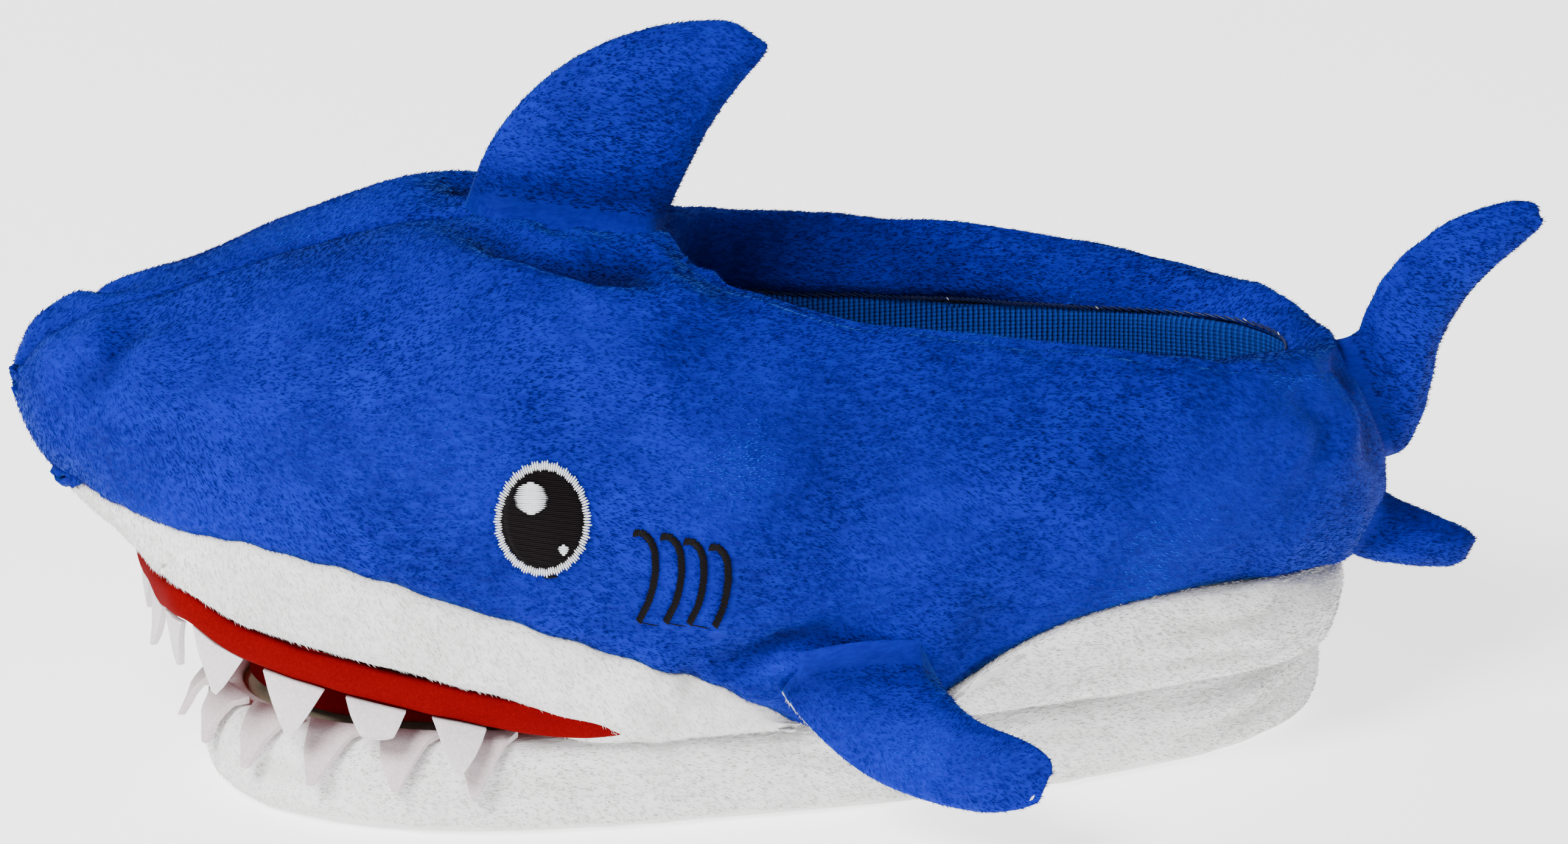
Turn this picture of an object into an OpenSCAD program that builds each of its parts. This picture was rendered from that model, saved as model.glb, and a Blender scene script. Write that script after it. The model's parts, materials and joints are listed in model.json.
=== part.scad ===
// Plush shark slipper: a stuffed shark upper on a thick plush-covered foam sole.
// X runs from the nose (-X) to the tail (+X), Y to the shark's right, Z up from the floor.
// The origin is on the underside of the sole, in the plane of symmetry.

/* [Body] */
// Length of the stuffed upper from the nose tip to the back of the heel
body_length = 301; // [260:1:340]
// Length from the nose tip to the front of the foot opening
vamp_length = 144; // [125:1:170]
// Width of the upper where it is widest
body_width = 122; // [108:1:140]
// Height of the back, just in front of the dorsal fin
back_height = 128; // [118:1:145]
// How far the nose tip lies in front of the origin
nose_reach = 168; // [145:1:190]
// Thickness of the plush fabric with its backing
plush = 2; // [1.5:0.1:2.4]
// Gap left between pieces that are sewn or glued face to face
seam_gap = 0.35; // [0.25:0.05:0.5]

/* [Sole] */
// How far the chin of the sole stands back from the nose tip
chin_setback = 41; // [34:1:46]
// How far the sole is tucked in under the heel
heel_tuck = 14; // [10:1:18]
// Width of the sole at the ball of the foot
sole_width = 102; // [90:1:112]
// Height of the covered foam sole
sole_height = 22; // [18:0.5:27]
// Thickness of the dotted outsole cloth
outsole_thick = 1.8; // [1.2:0.1:2.5]
// Thickness of the foam footbed
footbed_thick = 5; // [3:0.5:7]

/* [Foot opening] */
// Width of the opening between the tops of its walls
opening_width = 76; // [66:1:84]
// Thickness of the padded wall behind the heel at the top
heel_wall = 13; // [11:0.5:18]
// Width of the space for the foot
cavity_width = 68; // [56:1:74]
// Distance from the chin to the end of the toe space
toe_room = 27; // [23:0.5:40]
// Thickness of the knitted lining
lining_thick = 1.4; // [1:0.1:2]

/* [Face] */
// Height of the red gum band
gum_height = 8; // [6:0.5:10]
// How deep the mouth goes in behind the gum and the jaw
mouth_depth = 18; // [12:0.5:21]
// Thickness of the felt used for the gum and the teeth
felt = 1.6; // [1.2:0.1:2]
// Width of an upper tooth at its seam
tooth_width = 14; // [11:0.5:16]
// Length of an upper tooth
tooth_drop = 13; // [10:0.5:15.5]
// Distance between the middles of neighbouring upper teeth
tooth_pitch = 18.5; // [16.5:0.5:20]
// Width of a lower tooth at its seam
lower_tooth_width = 13; // [10:0.5:15]
// Distance between the middles of neighbouring lower teeth
lower_tooth_pitch = 17; // [15.5:0.5:19]
// Height of the embroidered eye
eye_height = 24; // [20:0.5:28]
// Width of the embroidered eye
eye_width = 19.5; // [16:0.5:23]
// Thickness of the embroidery thread on the plush
embroidery = 1.2; // [0.8:0.1:1.6]
// Length of one gill stroke
gill_length = 22; // [18:0.5:26]
// Distance between neighbouring gill strokes
gill_pitch = 6.2; // [5:0.1:7]

/* [Fins] */
// Height of the dorsal fin above its root
dorsal_height = 31; // [25:0.5:36]
// Thickness of the dorsal fin where it is fullest
dorsal_thick = 17; // [13:0.5:20]
// Reach of a pectoral fin from its root to its tip
pectoral_length = 48; // [40:0.5:56]
// Thickness of a pectoral fin where it is fullest
pectoral_thick = 12; // [10:0.5:14]
// Reach of the tail's upper lobe behind the heel
tail_reach = 36; // [29:0.5:42]
// Thickness of the tail lobes where they are fullest
tail_thick = 12; // [10:0.5:14]
// Half the thickness of every fin at its root, where it turns
root_radius = 5; // [4:0.1:5.6]

/* [Hidden] */
UPPER_TEETH = 11;
LOWER_TEETH = 10;

LEFT = -1;
RIGHT = 1;
blue = "#1550d0";
lining_blue = "#0d3fa0";
white = "#ececea";
red = "#d40f0f";
felt_white = "#e6e2e2";
black = "#151011";
foam = "#e8dcc0";
fill = "#f4f4f0";

// ---------- Curves ----------

function mix(a, b, t) = a + (b - a) * t;
function clamp01(t) = max(0, min(1, t));
function ease(t) = let (u = clamp01(t)) u * u * (3 - 2 * u);
function unit(v) = v / norm(v);
// A power that keeps the sign, for superellipses
function spow(v, e) = sign(v) * pow(abs(v), e);
// How high the arc of a superellipse stands at share u of its half-width
function arc(u, m) = pow(max(0, 1 - pow(abs(u), m)), 1 / m);

// A smooth curve through [place, value] stations
function tangent(p, i) =
    let (a = max(i - 1, 0), b = min(i + 1, len(p) - 1)) (p[b][1] - p[a][1]) / (p[b][0] - p[a][0]);
function span_of(p, x, i = 0) = i >= len(p) - 2 || x < p[i + 1][0] ? i : span_of(p, x, i + 1);
function curve(p, x) =
    let (
        i = span_of(p, x),
        h = p[i + 1][0] - p[i][0],
        t = clamp01((x - p[i][0]) / h),
        t2 = t * t,
        t3 = t2 * t)
    (2 * t3 - 3 * t2 + 1) * p[i][1] + (t3 - 2 * t2 + t) * h * tangent(p, i)
    + (3 * t2 - 2 * t3) * p[i + 1][1] + (t3 - t2) * h * tangent(p, i + 1);

// Numbers from a to b: evenly spaced, crowded towards a, and crowded towards b
function steps(a, b, n) = [for (i = [0:n]) mix(a, b, i / n)];
function steps_from(a, b, n) = [for (i = [0:n]) mix(a, b, pow(i / n, 2))];
function steps_to(a, b, n) = [for (i = [0:n]) mix(a, b, 1 - pow(1 - i / n, 2))];

// How far one can go from c along u and stay inside
function reach(c, u, inside, low = 0, high = 160, n = 15) =
    n == 0 ? low
    : let (r = (low + high) / 2)
        inside(c[0] + u[0] * r, c[1] + u[1] * r)
        ? reach(c, u, inside, r, high, n - 1)
        : reach(c, u, inside, low, r, n - 1);

// ---------- The upper's outer surface ----------

heel_reach = body_length - nose_reach;
half_width = body_width / 2;
opening_front = vamp_length - nose_reach;
// The profiles below are drawn for a body of this size; along() and drawn() fit them to this one's lengths
DRAWN_NOSE = -168;
DRAWN_OPENING = -24;
DRAWN_HEEL = 133;
DRAWN_BACK = 128;
DRAWN_SOLE = 22;
front_scale = vamp_length / (DRAWN_OPENING - DRAWN_NOSE);
rear_scale = (body_length - vamp_length) / (DRAWN_HEEL - DRAWN_OPENING);
function along(d) = opening_front + (d - DRAWN_OPENING) * (d < DRAWN_OPENING ? front_scale : rear_scale);
function drawn(x) = DRAWN_OPENING + (x - opening_front) / (x < opening_front ? front_scale : rear_scale);
function lift(z) = sole_height + (z - DRAWN_SOLE) * (back_height - sole_height) / (DRAWN_BACK - DRAWN_SOLE);

WIDEST = -30;
function half_at(x) = let (d = drawn(x))
    half_width * (d < WIDEST
        ? pow(max(0, 1 - pow((WIDEST - d) / (WIDEST - DRAWN_NOSE), 2)), 0.62)
        : pow(max(0, 1 - pow((d - WIDEST) / (DRAWN_HEEL - WIDEST), 3)), 0.5));

TOP = [[-168, 95.5], [-162, 104.5], [-150, 109], [-135, 111.5], [-118, 117.5], [-103, 122.5], [-88, 126.5],
    [-73, 128], [-48, 123], [-22, 118], [15, 115.5], [50, 111.5], [77, 107], [100, 99.5], [113, 91],
    [122, 81.5], [126, 71], [131, 60.5], [133, 54]];
MIDDLE = [[-168, 94], [-160, 91], [-140, 84], [-110, 76], [-64, 65], [0, 58], [80, 55], [133, 51]];
BOTTOM = [[-168, 92.5], [-164, 81], [-159, 74.5], [-150, 64.5], [-143, 56], [-140, 51], [-137, 44], [-130, 36],
    [-118, 29], [-100, 17], [-80, 5], [-64, -2], [-40, -7], [100, -7], [111, 0], [117, 14], [119, 22],
    [121.3, 31], [123.5, 36], [128.5, 44], [132, 47], [133, 49]];
function top_at(x) = lift(curve(TOP, drawn(x)));
function middle_at(x) = lift(curve(MIDDLE, drawn(x)));
function bottom_at(x) = lift(curve(BOTTOM, drawn(x)));
UP_POWER = 2.5;
function low_power(x) = mix(2.9, 2.3, ease((drawn(x) + 110) / 60));

// A point of the surface at station x and angle a above the widest line, d deep inside it
CENTRE = -17;
HALF_LENGTH = 150;
HALF_HEIGHT = 55;
function skin(x, a, d = 0, side = LEFT) =
    let (
        s = sin(a),
        m = s > 0 ? UP_POWER : low_power(x),
        h = s > 0 ? top_at(x) - middle_at(x) : middle_at(x) - bottom_at(x))
    [mix(x, CENTRE, d / HALF_LENGTH),
        side * half_at(x) * (1 - d / half_width) * spow(cos(a), 2 / m),
        middle_at(x) + h * (1 - d / HALF_HEIGHT) * spow(s, 2 / m)];

// Half the breadth of that surface at a place x and height z
function breadth(x, z, d = 0) =
    let (q = (x - CENTRE * d / HALF_LENGTH) / (1 - d / HALF_LENGTH))
    q <= -nose_reach || q >= heel_reach ? 0
    : let (
        up = z > middle_at(q),
        m = up ? UP_POWER : low_power(q),
        h = up ? top_at(q) - middle_at(q) : middle_at(q) - bottom_at(q))
        half_at(q) * (1 - d / half_width) * arc(min(1, abs(z - middle_at(q)) / h / (1 - d / HALF_HEIGHT)), m);

// The angle at which the surface passes height z, or distance y from the middle above or below
function angle_of_z(x, z) =
    let (
        up = z > middle_at(x),
        m = up ? UP_POWER : low_power(x),
        h = up ? top_at(x) - middle_at(x) : middle_at(x) - bottom_at(x))
    (up ? 1 : -1) * asin(min(1, pow(abs(z - middle_at(x)) / h, m / 2)));
function angle_of_y(x, y) = acos(min(1, pow(y / half_at(x), UP_POWER / 2)));
function angle_of_y_below(x, y) = -acos(min(1, pow(y / half_at(x), low_power(x) / 2)));
function on_skin(x, z, d, side) = skin(x, angle_of_z(x, z), d, side);

// ---------- Lines drawn on the upper ----------

LIP_EDGE = [[-140, 51.8], [-139, 54], [-137, 54.5], [-130, 49], [-118, 44], [-100, 39.5], [-82, 35.5],
    [-64, 31], [-50, 26.5], [-40, 23.5], [-30, 22.6], [0, 22.6]];
BLUE_EDGE = [[-160, 76], [-152, 73], [-140, 70.5], [-114, 66], [-90, 58], [-64, 48.5], [-40, 38.5],
    [-22, 30.5], [-8, 24.5], [2, 22.6], [18, 22.6], [23, 29], [30, 37.5], [48, 46], [75, 49], [100, 45],
    [118, 37], [126, 34], [133, 34]];
mouth_front = along(-140);
mouth_corner = along(-40);
sole_top = sole_height + seam_gap;
function lip_edge(x) = max(sole_top, lift(curve(LIP_EDGE, drawn(x))));
function blue_edge(x) = max(sole_top, lift(curve(BLUE_EDGE, drawn(x))));

opening_back = heel_reach - heel_wall;
opening_middle = (opening_front + opening_back) / 2;
opening_half_length = (opening_back - opening_front) / 2;
// Half the breadth of the opening at x, grown by room all round
function opening_half(x, room = 0) =
    let (u = abs(x - opening_middle) / (opening_half_length + room))
    u >= 1 ? 0 : (opening_width / 2 + room) * pow(1 - pow(u, 3), 1 / 2.2);

// ---------- Solids from surfaces ----------

// A panel between two grids of points: outer[i][j] and inner[i][j]
module slab(outer, inner) {
    n = len(outer);
    m = len(outer[0]);
    function at(i, j, k) = (k * n + i) * m + j;
    polyhedron(
        points = concat([for (r = outer) each r], [for (r = inner) each r]),
        faces = concat(
            [for (i = [0:n - 2], j = [0:m - 2]) each [
                [at(i, j, 0), at(i, j + 1, 0), at(i + 1, j + 1, 0)],
                [at(i, j, 0), at(i + 1, j + 1, 0), at(i + 1, j, 0)],
                [at(i, j, 1), at(i + 1, j + 1, 1), at(i, j + 1, 1)],
                [at(i, j, 1), at(i + 1, j, 1), at(i + 1, j + 1, 1)]]],
            [for (i = [0:n - 2]) each [
                [at(i, 0, 0), at(i + 1, 0, 0), at(i + 1, 0, 1)],
                [at(i, 0, 0), at(i + 1, 0, 1), at(i, 0, 1)],
                [at(i, m - 1, 0), at(i + 1, m - 1, 1), at(i + 1, m - 1, 0)],
                [at(i, m - 1, 0), at(i, m - 1, 1), at(i + 1, m - 1, 1)]]],
            [for (j = [0:m - 2]) each [
                [at(0, j, 0), at(0, j + 1, 1), at(0, j + 1, 0)],
                [at(0, j, 0), at(0, j, 1), at(0, j + 1, 1)],
                [at(n - 1, j, 0), at(n - 1, j + 1, 0), at(n - 1, j + 1, 1)],
                [at(n - 1, j, 0), at(n - 1, j + 1, 1), at(n - 1, j, 1)]]]));
}

// The same panel on either side: its grids change places so that its faces point outwards
module sided_slab(outer, inner, side) {
    if (side == LEFT)
        slab(outer, inner);
    else
        slab(inner, outer);
}

// Triangles that close a ring of m points, each point joined to the one facing it
function cap(m) = [for (j = [0:floor((m - 3) / 2)]) each j + 1 < m - 2 - j
    ? [[j, j + 1, m - 2 - j], [j, m - 2 - j, m - 1 - j]]
    : [[j, j + 1, m - 1 - j]]];

// A solid through rings of the same number of points, closed end to end when loop is true
module loft(rings, loop = false) {
    n = len(rings);
    m = len(rings[0]);
    function at(i, j) = (i % n) * m + j % m;
    polyhedron(
        points = [for (r = rings) each r],
        faces = concat(
            [for (i = [0:n - (loop ? 1 : 2)], j = [0:m - 1]) each [
                [at(i, j), at(i, j + 1), at(i + 1, j + 1)],
                [at(i, j), at(i + 1, j + 1), at(i + 1, j)]]],
            loop ? [] : [for (t = cap(m)) [at(0, t[2]), at(0, t[1]), at(0, t[0])]],
            loop ? [] : [for (t = cap(m)) [at(n - 1, t[0]), at(n - 1, t[1]), at(n - 1, t[2])]]));
}

// A panel of the upper between two angles at each station, from the surface down to the fabric's back
module skin_panel(xs, low, high, rows, side) {
    function grid(d) = [for (x = xs) [for (j = [0:rows]) skin(x, mix(low(x), high(x), j / rows), d, side)]];
    sided_slab(grid(0), grid(plush), side);
}

// ---------- Upper ----------

CLOSE = 0.02;
TOP_ROWS = 11;
opening_room = plush + seam_gap + 0.4;
WHITE_FRONT = -159.5;
belly_start = along(21);
belly_end = along(124);
// Room between the blue and the white panels along their seam
EDGE_GAP = 0.8;
upper_xs = concat(
    steps_from(-nose_reach + CLOSE, along(WHITE_FRONT), 4),
    steps(along(-156), along(-118), 5),
    steps(along(-107), opening_front - opening_room - 6, 6),
    steps_from(opening_front - opening_room, belly_start, 6),
    [for (i = [1:4]) mix(belly_start, opening_middle, i / 4)],
    [for (i = [1:7]) steps_to(opening_middle, opening_back + opening_room, 7)[i]],
    [for (i = [1:4]) steps_to(opening_back + opening_room, heel_reach - CLOSE, 4)[i]]);

function blue_low(x) =
    x < along(WHITE_FRONT) + CLOSE
    ? angle_of_y_below(x, seam_gap / 2)
    : angle_of_z(x, blue_edge(x) + EDGE_GAP / 2);
function blue_high(x) = angle_of_y(x, max(seam_gap / 2, opening_half(x, opening_room)));

module upper(side) {
    color(blue)
        skin_panel(upper_xs, function(x) blue_low(x), function(x) blue_high(x), TOP_ROWS, side);
}

lip_xs = concat(steps(along(WHITE_FRONT) + EDGE_GAP, along(-142), 5),
    [for (i = [0:16]) mix(mouth_front, along(-7), pow(i / 16, 1.8))]);
function lip_low(x) =
    x < mouth_front + CLOSE ? angle_of_y_below(x, seam_gap / 2) : angle_of_z(x, lip_edge(x));
function lip_high(x) = max(lip_low(x) + 2, angle_of_z(x, blue_edge(x) - EDGE_GAP / 2));

module lip(side) {
    color(white)
        skin_panel(lip_xs, function(x) lip_low(x), function(x) lip_high(x), 3, side);
}

// The belly panel keeps to the same stations, so that the two edges stay side by side
belly_xs = [for (x = upper_xs) if (x > belly_start - CLOSE && x < belly_end) x];
function belly_low(x) = max(angle_of_y_below(x, seam_gap / 2), angle_of_z(x, sole_top));
function belly_high(x) = max(belly_low(x) + 1.5, angle_of_z(x, blue_edge(x) - EDGE_GAP / 2));

module belly(side) {
    color(white)
        skin_panel(belly_xs, function(x) belly_low(x), function(x) belly_high(x), 4, side);
}

// ---------- Sole ----------

chin_x = -nose_reach + chin_setback;
sole_back = heel_reach - heel_tuck;
BALL_FROM_CHIN = 87;
ball_x = chin_x + BALL_FROM_CHIN;
// The sole's outline from above: t goes round from the chin, and inset moves it in
function sole_point(t, inset) =
    let (
        c = cos(t),
        x = c > 0
            ? ball_x - (BALL_FROM_CHIN - inset) * pow(c, 2 / 2.6)
            : ball_x + (sole_back - ball_x - inset) * pow(-c, 2 / 3))
    [x, (sole_width / 2 - inset) * sin(t)];
SOLE_STEPS = 56;

// The cover's section: [inset, height] up its outside and down its inside, a plush thickness apart
wrap_height = sole_height - seam_gap;
UNDERLAP = 7;
wrap_outside = [[UNDERLAP, 0], [3.2, 0.5], [0.9, 0.2 * wrap_height], [0, 0.5 * wrap_height],
    [0.8, 0.78 * wrap_height], [2.6, 0.95 * wrap_height], [4.6, wrap_height], [9, wrap_height]];
wrap_inside = [[9, wrap_height - plush], [5.4, wrap_height - plush], [4.2, 0.95 * wrap_height - plush + 0.3],
    [0.8 + plush, 0.76 * wrap_height], [plush, 0.5 * wrap_height], [0.9 + plush, 0.22 * wrap_height],
    [4.2, plush + 0.5], [UNDERLAP, plush]];

module outsole() {
    color(lining_blue)
        linear_extrude(outsole_thick)
            polygon([for (i = [0:SOLE_STEPS - 1]) sole_point(360 * i / SOLE_STEPS, UNDERLAP + seam_gap)]);
}

// Rings round the sole, one for each [inset, height] of a section
function sole_ring(p) = [for (i = [0:SOLE_STEPS - 1])
    let (q = sole_point(360 * i / SOLE_STEPS, p[0])) [q[0], q[1], p[1]]];

module sole_foam() {
    low = max(plush, outsole_thick) + seam_gap;
    middle = [for (i = [len(wrap_inside) - 3:-1:2]) [wrap_inside[i][0] + seam_gap, wrap_inside[i][1]]];
    color(foam)
        loft([for (p = concat([[UNDERLAP, low]], middle, [[6, wrap_height - plush - seam_gap]])) sole_ring(p)]);
}

module sole_wrap() {
    color(white)
        loft([for (i = [0:SOLE_STEPS - 1]) [for (p = concat(wrap_outside, wrap_inside))
            let (q = sole_point(-360 * i / SOLE_STEPS, p[0])) [q[0], q[1], p[1]]]], loop = true);
}

// ---------- Foot space, lining and footbed ----------

toe_x = chin_x + toe_room;
HEEL_SLOPE = 8;
cavity_back = opening_back - HEEL_SLOPE;
cavity_middle = (toe_x + cavity_back) / 2;
cavity_half_length = (cavity_back - toe_x) / 2;
function cavity_half(x) =
    cavity_width / 2 * pow(max(0, 1 - pow(abs(x - cavity_middle) / cavity_half_length, 3)), 0.5);

// The roof over the toes; over the opening it stands far above, so that the walls are nearly upright
ROOF = [[-100, 42], [-92, 50], [-80, 60], [-65, 70], [-50, 79], [-36, 88], [-29, 93], [-18, 122], [0, 150],
    [60, 160], [112, 160]];
function roof_at(x) = lift(curve(ROOF, drawn(x)));
SEAM = [[-29, 95.5], [-22, 93], [-10, 91], [32, 86.5], [75, 82], [120, 81]];
function seam_at(x) = lift(curve(SEAM, drawn(x)));
roof_end = along(-29);

// A point of the foot space's wall at angle b above the footbed's base, grown outwards by g
function wall(x, b, g, side = LEFT) =
    [mix(x, cavity_middle, -g / cavity_half_length),
        side * cavity_half(x) * (1 + 2 * g / cavity_width) * spow(cos(b), 2 / 3),
        sole_top + (roof_at(x) - sole_top + g) * spow(sin(b), 2 / 3)];
function wall_angle(x, z) = asin(min(1, pow(max(0, z - sole_top) / (roof_at(x) - sole_top), 1.5)));
// Half the breadth between those walls at a place x and height z
function wall_breadth(x, z, g) =
    let (q = (x + cavity_middle * g / cavity_half_length) / (1 + g / cavity_half_length))
    abs(q - cavity_middle) >= cavity_half_length ? 0
    : cavity_half(q) * (1 + 2 * g / cavity_width) * arc(min(1, (z - sole_top) / (roof_at(q) - sole_top + g)), 3);

module footbed() {
    color(lining_blue)
        translate([0, 0, sole_top])
            linear_extrude(footbed_thick)
                polygon([for (i = [0:47]) let (t = 360 * i / 48)
                    [cavity_middle - (cavity_half_length - seam_gap) * spow(cos(t), 2 / 3),
                        (cavity_width / 2 - seam_gap) * sin(t) * wall_breadth(cavity_middle, sole_top
                            + footbed_thick, 0) / (cavity_width / 2)]]);
}

lining_xs = concat(steps_from(toe_x + CLOSE, along(-62), 6), steps(along(-52), roof_end, 3),
    [roof_end + 0.4, roof_end + 2, roof_end + 5],
    [for (i = [1:10]) steps_to(roof_end + 5, cavity_back - CLOSE, 10)[i]]);
LINING_ROWS = 8;
// The lining is roofed as far as roof_end, and ends at the collar seam behind it
function lining_end(x) = min(
    acos(pow(seam_gap / 2 / max(1, cavity_half(x)), 1.5)),
    x < roof_end + CLOSE ? 90 : wall_angle(x, seam_at(x)));

module foot_lining() {
    color(lining_blue)
        for (side = [LEFT, RIGHT])
            lining_half(side);
}

module lining_half(side) {
    function grid(g) =
        [for (x = lining_xs) [for (j = [0:LINING_ROWS]) wall(x, lining_end(x) * j / LINING_ROWS, g, side)]];
    sided_slab(grid(lining_thick), grid(0), side);
}

// ---------- Collar ----------

centre = [opening_middle, 0];
function ray(t) = [-cos(t), sin(t)];
function rim_reach(t) = reach(centre, ray(t), function(x, y) abs(y) < opening_half(x));
function seam_reach(t) = reach(centre, ray(t),
    function(x, y) x > roof_end && abs(y) < wall_breadth(x, seam_at(x), lining_thick / 2));
function place(t, r, z) = [centre[0] + ray(t)[0] * r, centre[1] + ray(t)[1] * r, z];
function skin_height(x, y) = skin(x, angle_of_y(x, max(seam_gap, abs(y))))[2];

COLLAR_STEPS = 44;
// Room between the facing and the lining along their seam
COLLAR_GAP = 1;
// [share of the way down from the rim to the seam, how far it swells inwards]
FACING = [[0, 0], [0.3, 1.2], [0.65, 1.4], [1, 0]];
function facing_point(t, p, back) =
    let (
        r0 = rim_reach(t),
        r1 = seam_reach(t) - plush / 2,
        rim = place(t, r0, 0),
        seam = place(t, r1, 0),
        z = mix(skin_height(rim[0], rim[1]), seam_at(seam[0]) + COLLAR_GAP, p[0]))
    place(t, mix(r0, r1, p[0]) - p[1] + back, z);

module collar_facing() {
    profile = concat([for (p = FACING) [p, 0]], [for (i = [len(FACING) - 1:-1:0]) [FACING[i], plush]]);
    color(blue)
        loft([for (i = [0:COLLAR_STEPS - 1])
            [for (p = profile) facing_point(-360 * i / COLLAR_STEPS, p[0], p[1])]], loop = true);
}

// ---------- Padding and stuffing ----------

PAD_GAP = 1.3;
pad_depth = plush + PAD_GAP;
PAD_FRONT = 7;
pad_front = opening_front - PAD_FRONT;
// How much thinner the padding is round the heel, and how far below the rim it ends
HEEL_EASE = 2;
PAD_BELOW_RIM = 8;
// Shares of the height at which the padding's section has corners
PAD_ROWS = [0.04, 0.3, 0.58, 0.7, 0.93];

module wall_padding(side) {
    function outside(t, z) =
        reach(centre, ray(t), function(x, y) x > pad_front && abs(y) < breadth(x, z, pad_depth))
        - HEEL_EASE * ease((-cos(t) - 0.5) / 0.3);
    function inside(t, z) =
        let (
            wall_r = reach(centre, ray(t), function(x, y) abs(y) < wall_breadth(x, z, lining_thick + PAD_GAP)),
            r = seam_reach(t),
            up = z > seam_at(place(t, r, 0)[0]) - 6)
        up ? max(wall_r * (z > seam_at(0) ? 0 : 1), max(rim_reach(t), r) + plush + seam_gap) : wall_r;
    function row(t) =
        let (rim = place(t, rim_reach(t), 0), high = skin_height(rim[0], rim[1]) - PAD_BELOW_RIM)
        [for (f = PAD_ROWS) mix(sole_top, high, f)];
    ts = side == LEFT ? steps(-30, -179.5, 20) : steps(30, 179.5, 20);
    function ring(t) = concat(
        [for (z = row(t)) let (i = inside(t, z)) place(t, max(i + 0.6, outside(t, z)), z)],
        [for (k = [len(PAD_ROWS) - 1:-1:0]) let (z = row(t)[k]) place(t, inside(t, z), z)]);
    rings = [for (t = ts) ring(t)];
    color(fill)
        loft(side == RIGHT ? [for (r = rings) [for (k = [len(r) - 1:-1:0]) r[k]]] : rings);
}

// Over the toes the padding runs from one side of the mouth over the top to the other
VAMP_ROWS = 8;
function pad_low(x) = angle_of_z(x, lip_edge(x) + 6);
function both_sides(f) = concat(
    [for (j = [0:VAMP_ROWS]) f(j / VAMP_ROWS, LEFT)],
    [for (j = [VAMP_ROWS - 1:-1:0]) f(j / VAMP_ROWS, RIGHT)]);
TOP_CENTRE = 90;

module vamp_padding() {
    xs = steps(toe_x + 1, pad_front - seam_gap - 1, 10);
    color(fill)
        slab(
            [for (x = xs) both_sides(function(u, side)
                skin(x, mix(pad_low(x), TOP_CENTRE, u), pad_depth, side))],
            [for (x = xs) both_sides(function(u, side)
                wall(x, mix(min(70, wall_angle(x, lip_edge(x) + 2)), TOP_CENTRE, u), lining_thick + PAD_GAP, side))]);
}

module snout_stuffing() {
    xs = concat(steps_from(along(-163), along(-141), 4), steps(along(-136), toe_x - 4, 4));
    function low(x) = x < mouth_front ? -75 : pad_low(x);
    color(fill)
        loft([for (x = xs) both_sides(function(u, side) skin(x, mix(low(x), TOP_CENTRE, u), pad_depth, side))]);
}

// ---------- Mouth ----------

MOUTH_STEPS = 30;
mouth_edge = [for (i = [-MOUTH_STEPS:MOUTH_STEPS])
    let (x = mix(mouth_front, mouth_corner, pow(abs(i) / MOUTH_STEPS, 2)))
    skin(x, lip_low(x), plush / 2, i < 0 ? LEFT : RIGHT)];
// Places along a line of points by their distance from its middle
function runs(p) = let (
        n = len(p),
        to = [for (i = 0, s = 0; i < n; s = s + (i < n - 1 ? norm(p[i + 1] - p[i]) : 0), i = i + 1) s])
    [for (s = to) s - to[n - 1] / 2];
function spot(p, run, s) = [for (k = [0:2]) lookup(s, [for (i = [0:len(p) - 1]) [run[i], p[i][k]]])];
mouth_run = runs(mouth_edge);
mouth_half = mouth_run[len(mouth_run) - 1];
function mouth_at(s) = spot(mouth_edge, mouth_run, s);
// The level direction into the mouth
function mouth_in(s) = let (t = mouth_at(s + 2) - mouth_at(s - 2)) unit([t[1], -t[0], 0]);
function shifted(s, inward, down) = mouth_at(s) + inward * mouth_in(s) - [0, 0, down];

gum_thick = 2 * felt;
gum_back = gum_thick + 1.2;
module gum_band() {
    color(red)
        loft([for (s = steps(-mouth_half + 4, mouth_half - 4, 48))
            let (h = gum_height * mix(0.3, 1, ease((mouth_half - abs(s)) / 25)))
            [for (p = [[0.3, seam_gap], [-0.6, 0.4 * h], [0.6, h], [0.6 + gum_thick, h],
                    [gum_back, 0.4 * h], [0.3 + gum_thick, seam_gap]])
                shifted(s, p[0], p[1])]]);
}

LINING_BACK = 10;
function jaw_at(s) = let (q = sole_point(90 * s / mouth_half, LINING_BACK)) [q[0], q[1], sole_top + felt + 0.1];
MOUTH_ROWS = 6;
module mouth_lining() {
    function corner(s) = ease((mouth_half - abs(s)) / 30);
    function point(s, j, out) =
        let (
            top = shifted(s, gum_back + seam_gap, mix(0.3, felt + 0.6, corner(s))),
            f = 180 * j / MOUTH_ROWS,
            depth = mouth_depth * (1 - pow(s / mouth_half, 2)))
        mix([top[0], top[1], max(top[2], sole_top + felt + 0.3)], jaw_at(s), j / MOUTH_ROWS)
        + sin(f) * depth * mouth_in(s)
        + out * felt * unit(sin(f) * mouth_in(s) + [0, 0, cos(f)]);
    function grid(out) =
        [for (s = steps(-mouth_half + 12, mouth_half - 12, 36)) [for (j = [0:MOUTH_ROWS]) point(s, j, out)]];
    color(red)
        slab(grid(0), grid(1));
}

// ---------- Teeth ----------

TOOTH_IN = 1.5;
TOOTH_LEAN = 5.5;
// Between the gum band's lower edge and a tooth's top
TOOTH_GAP = 0.9;
// A tooth's breadth falls from its seam to a blunt tip
function tooth_half(width, q) = width / 2 * pow(1 - q, 0.9) + 0.7;

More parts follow.
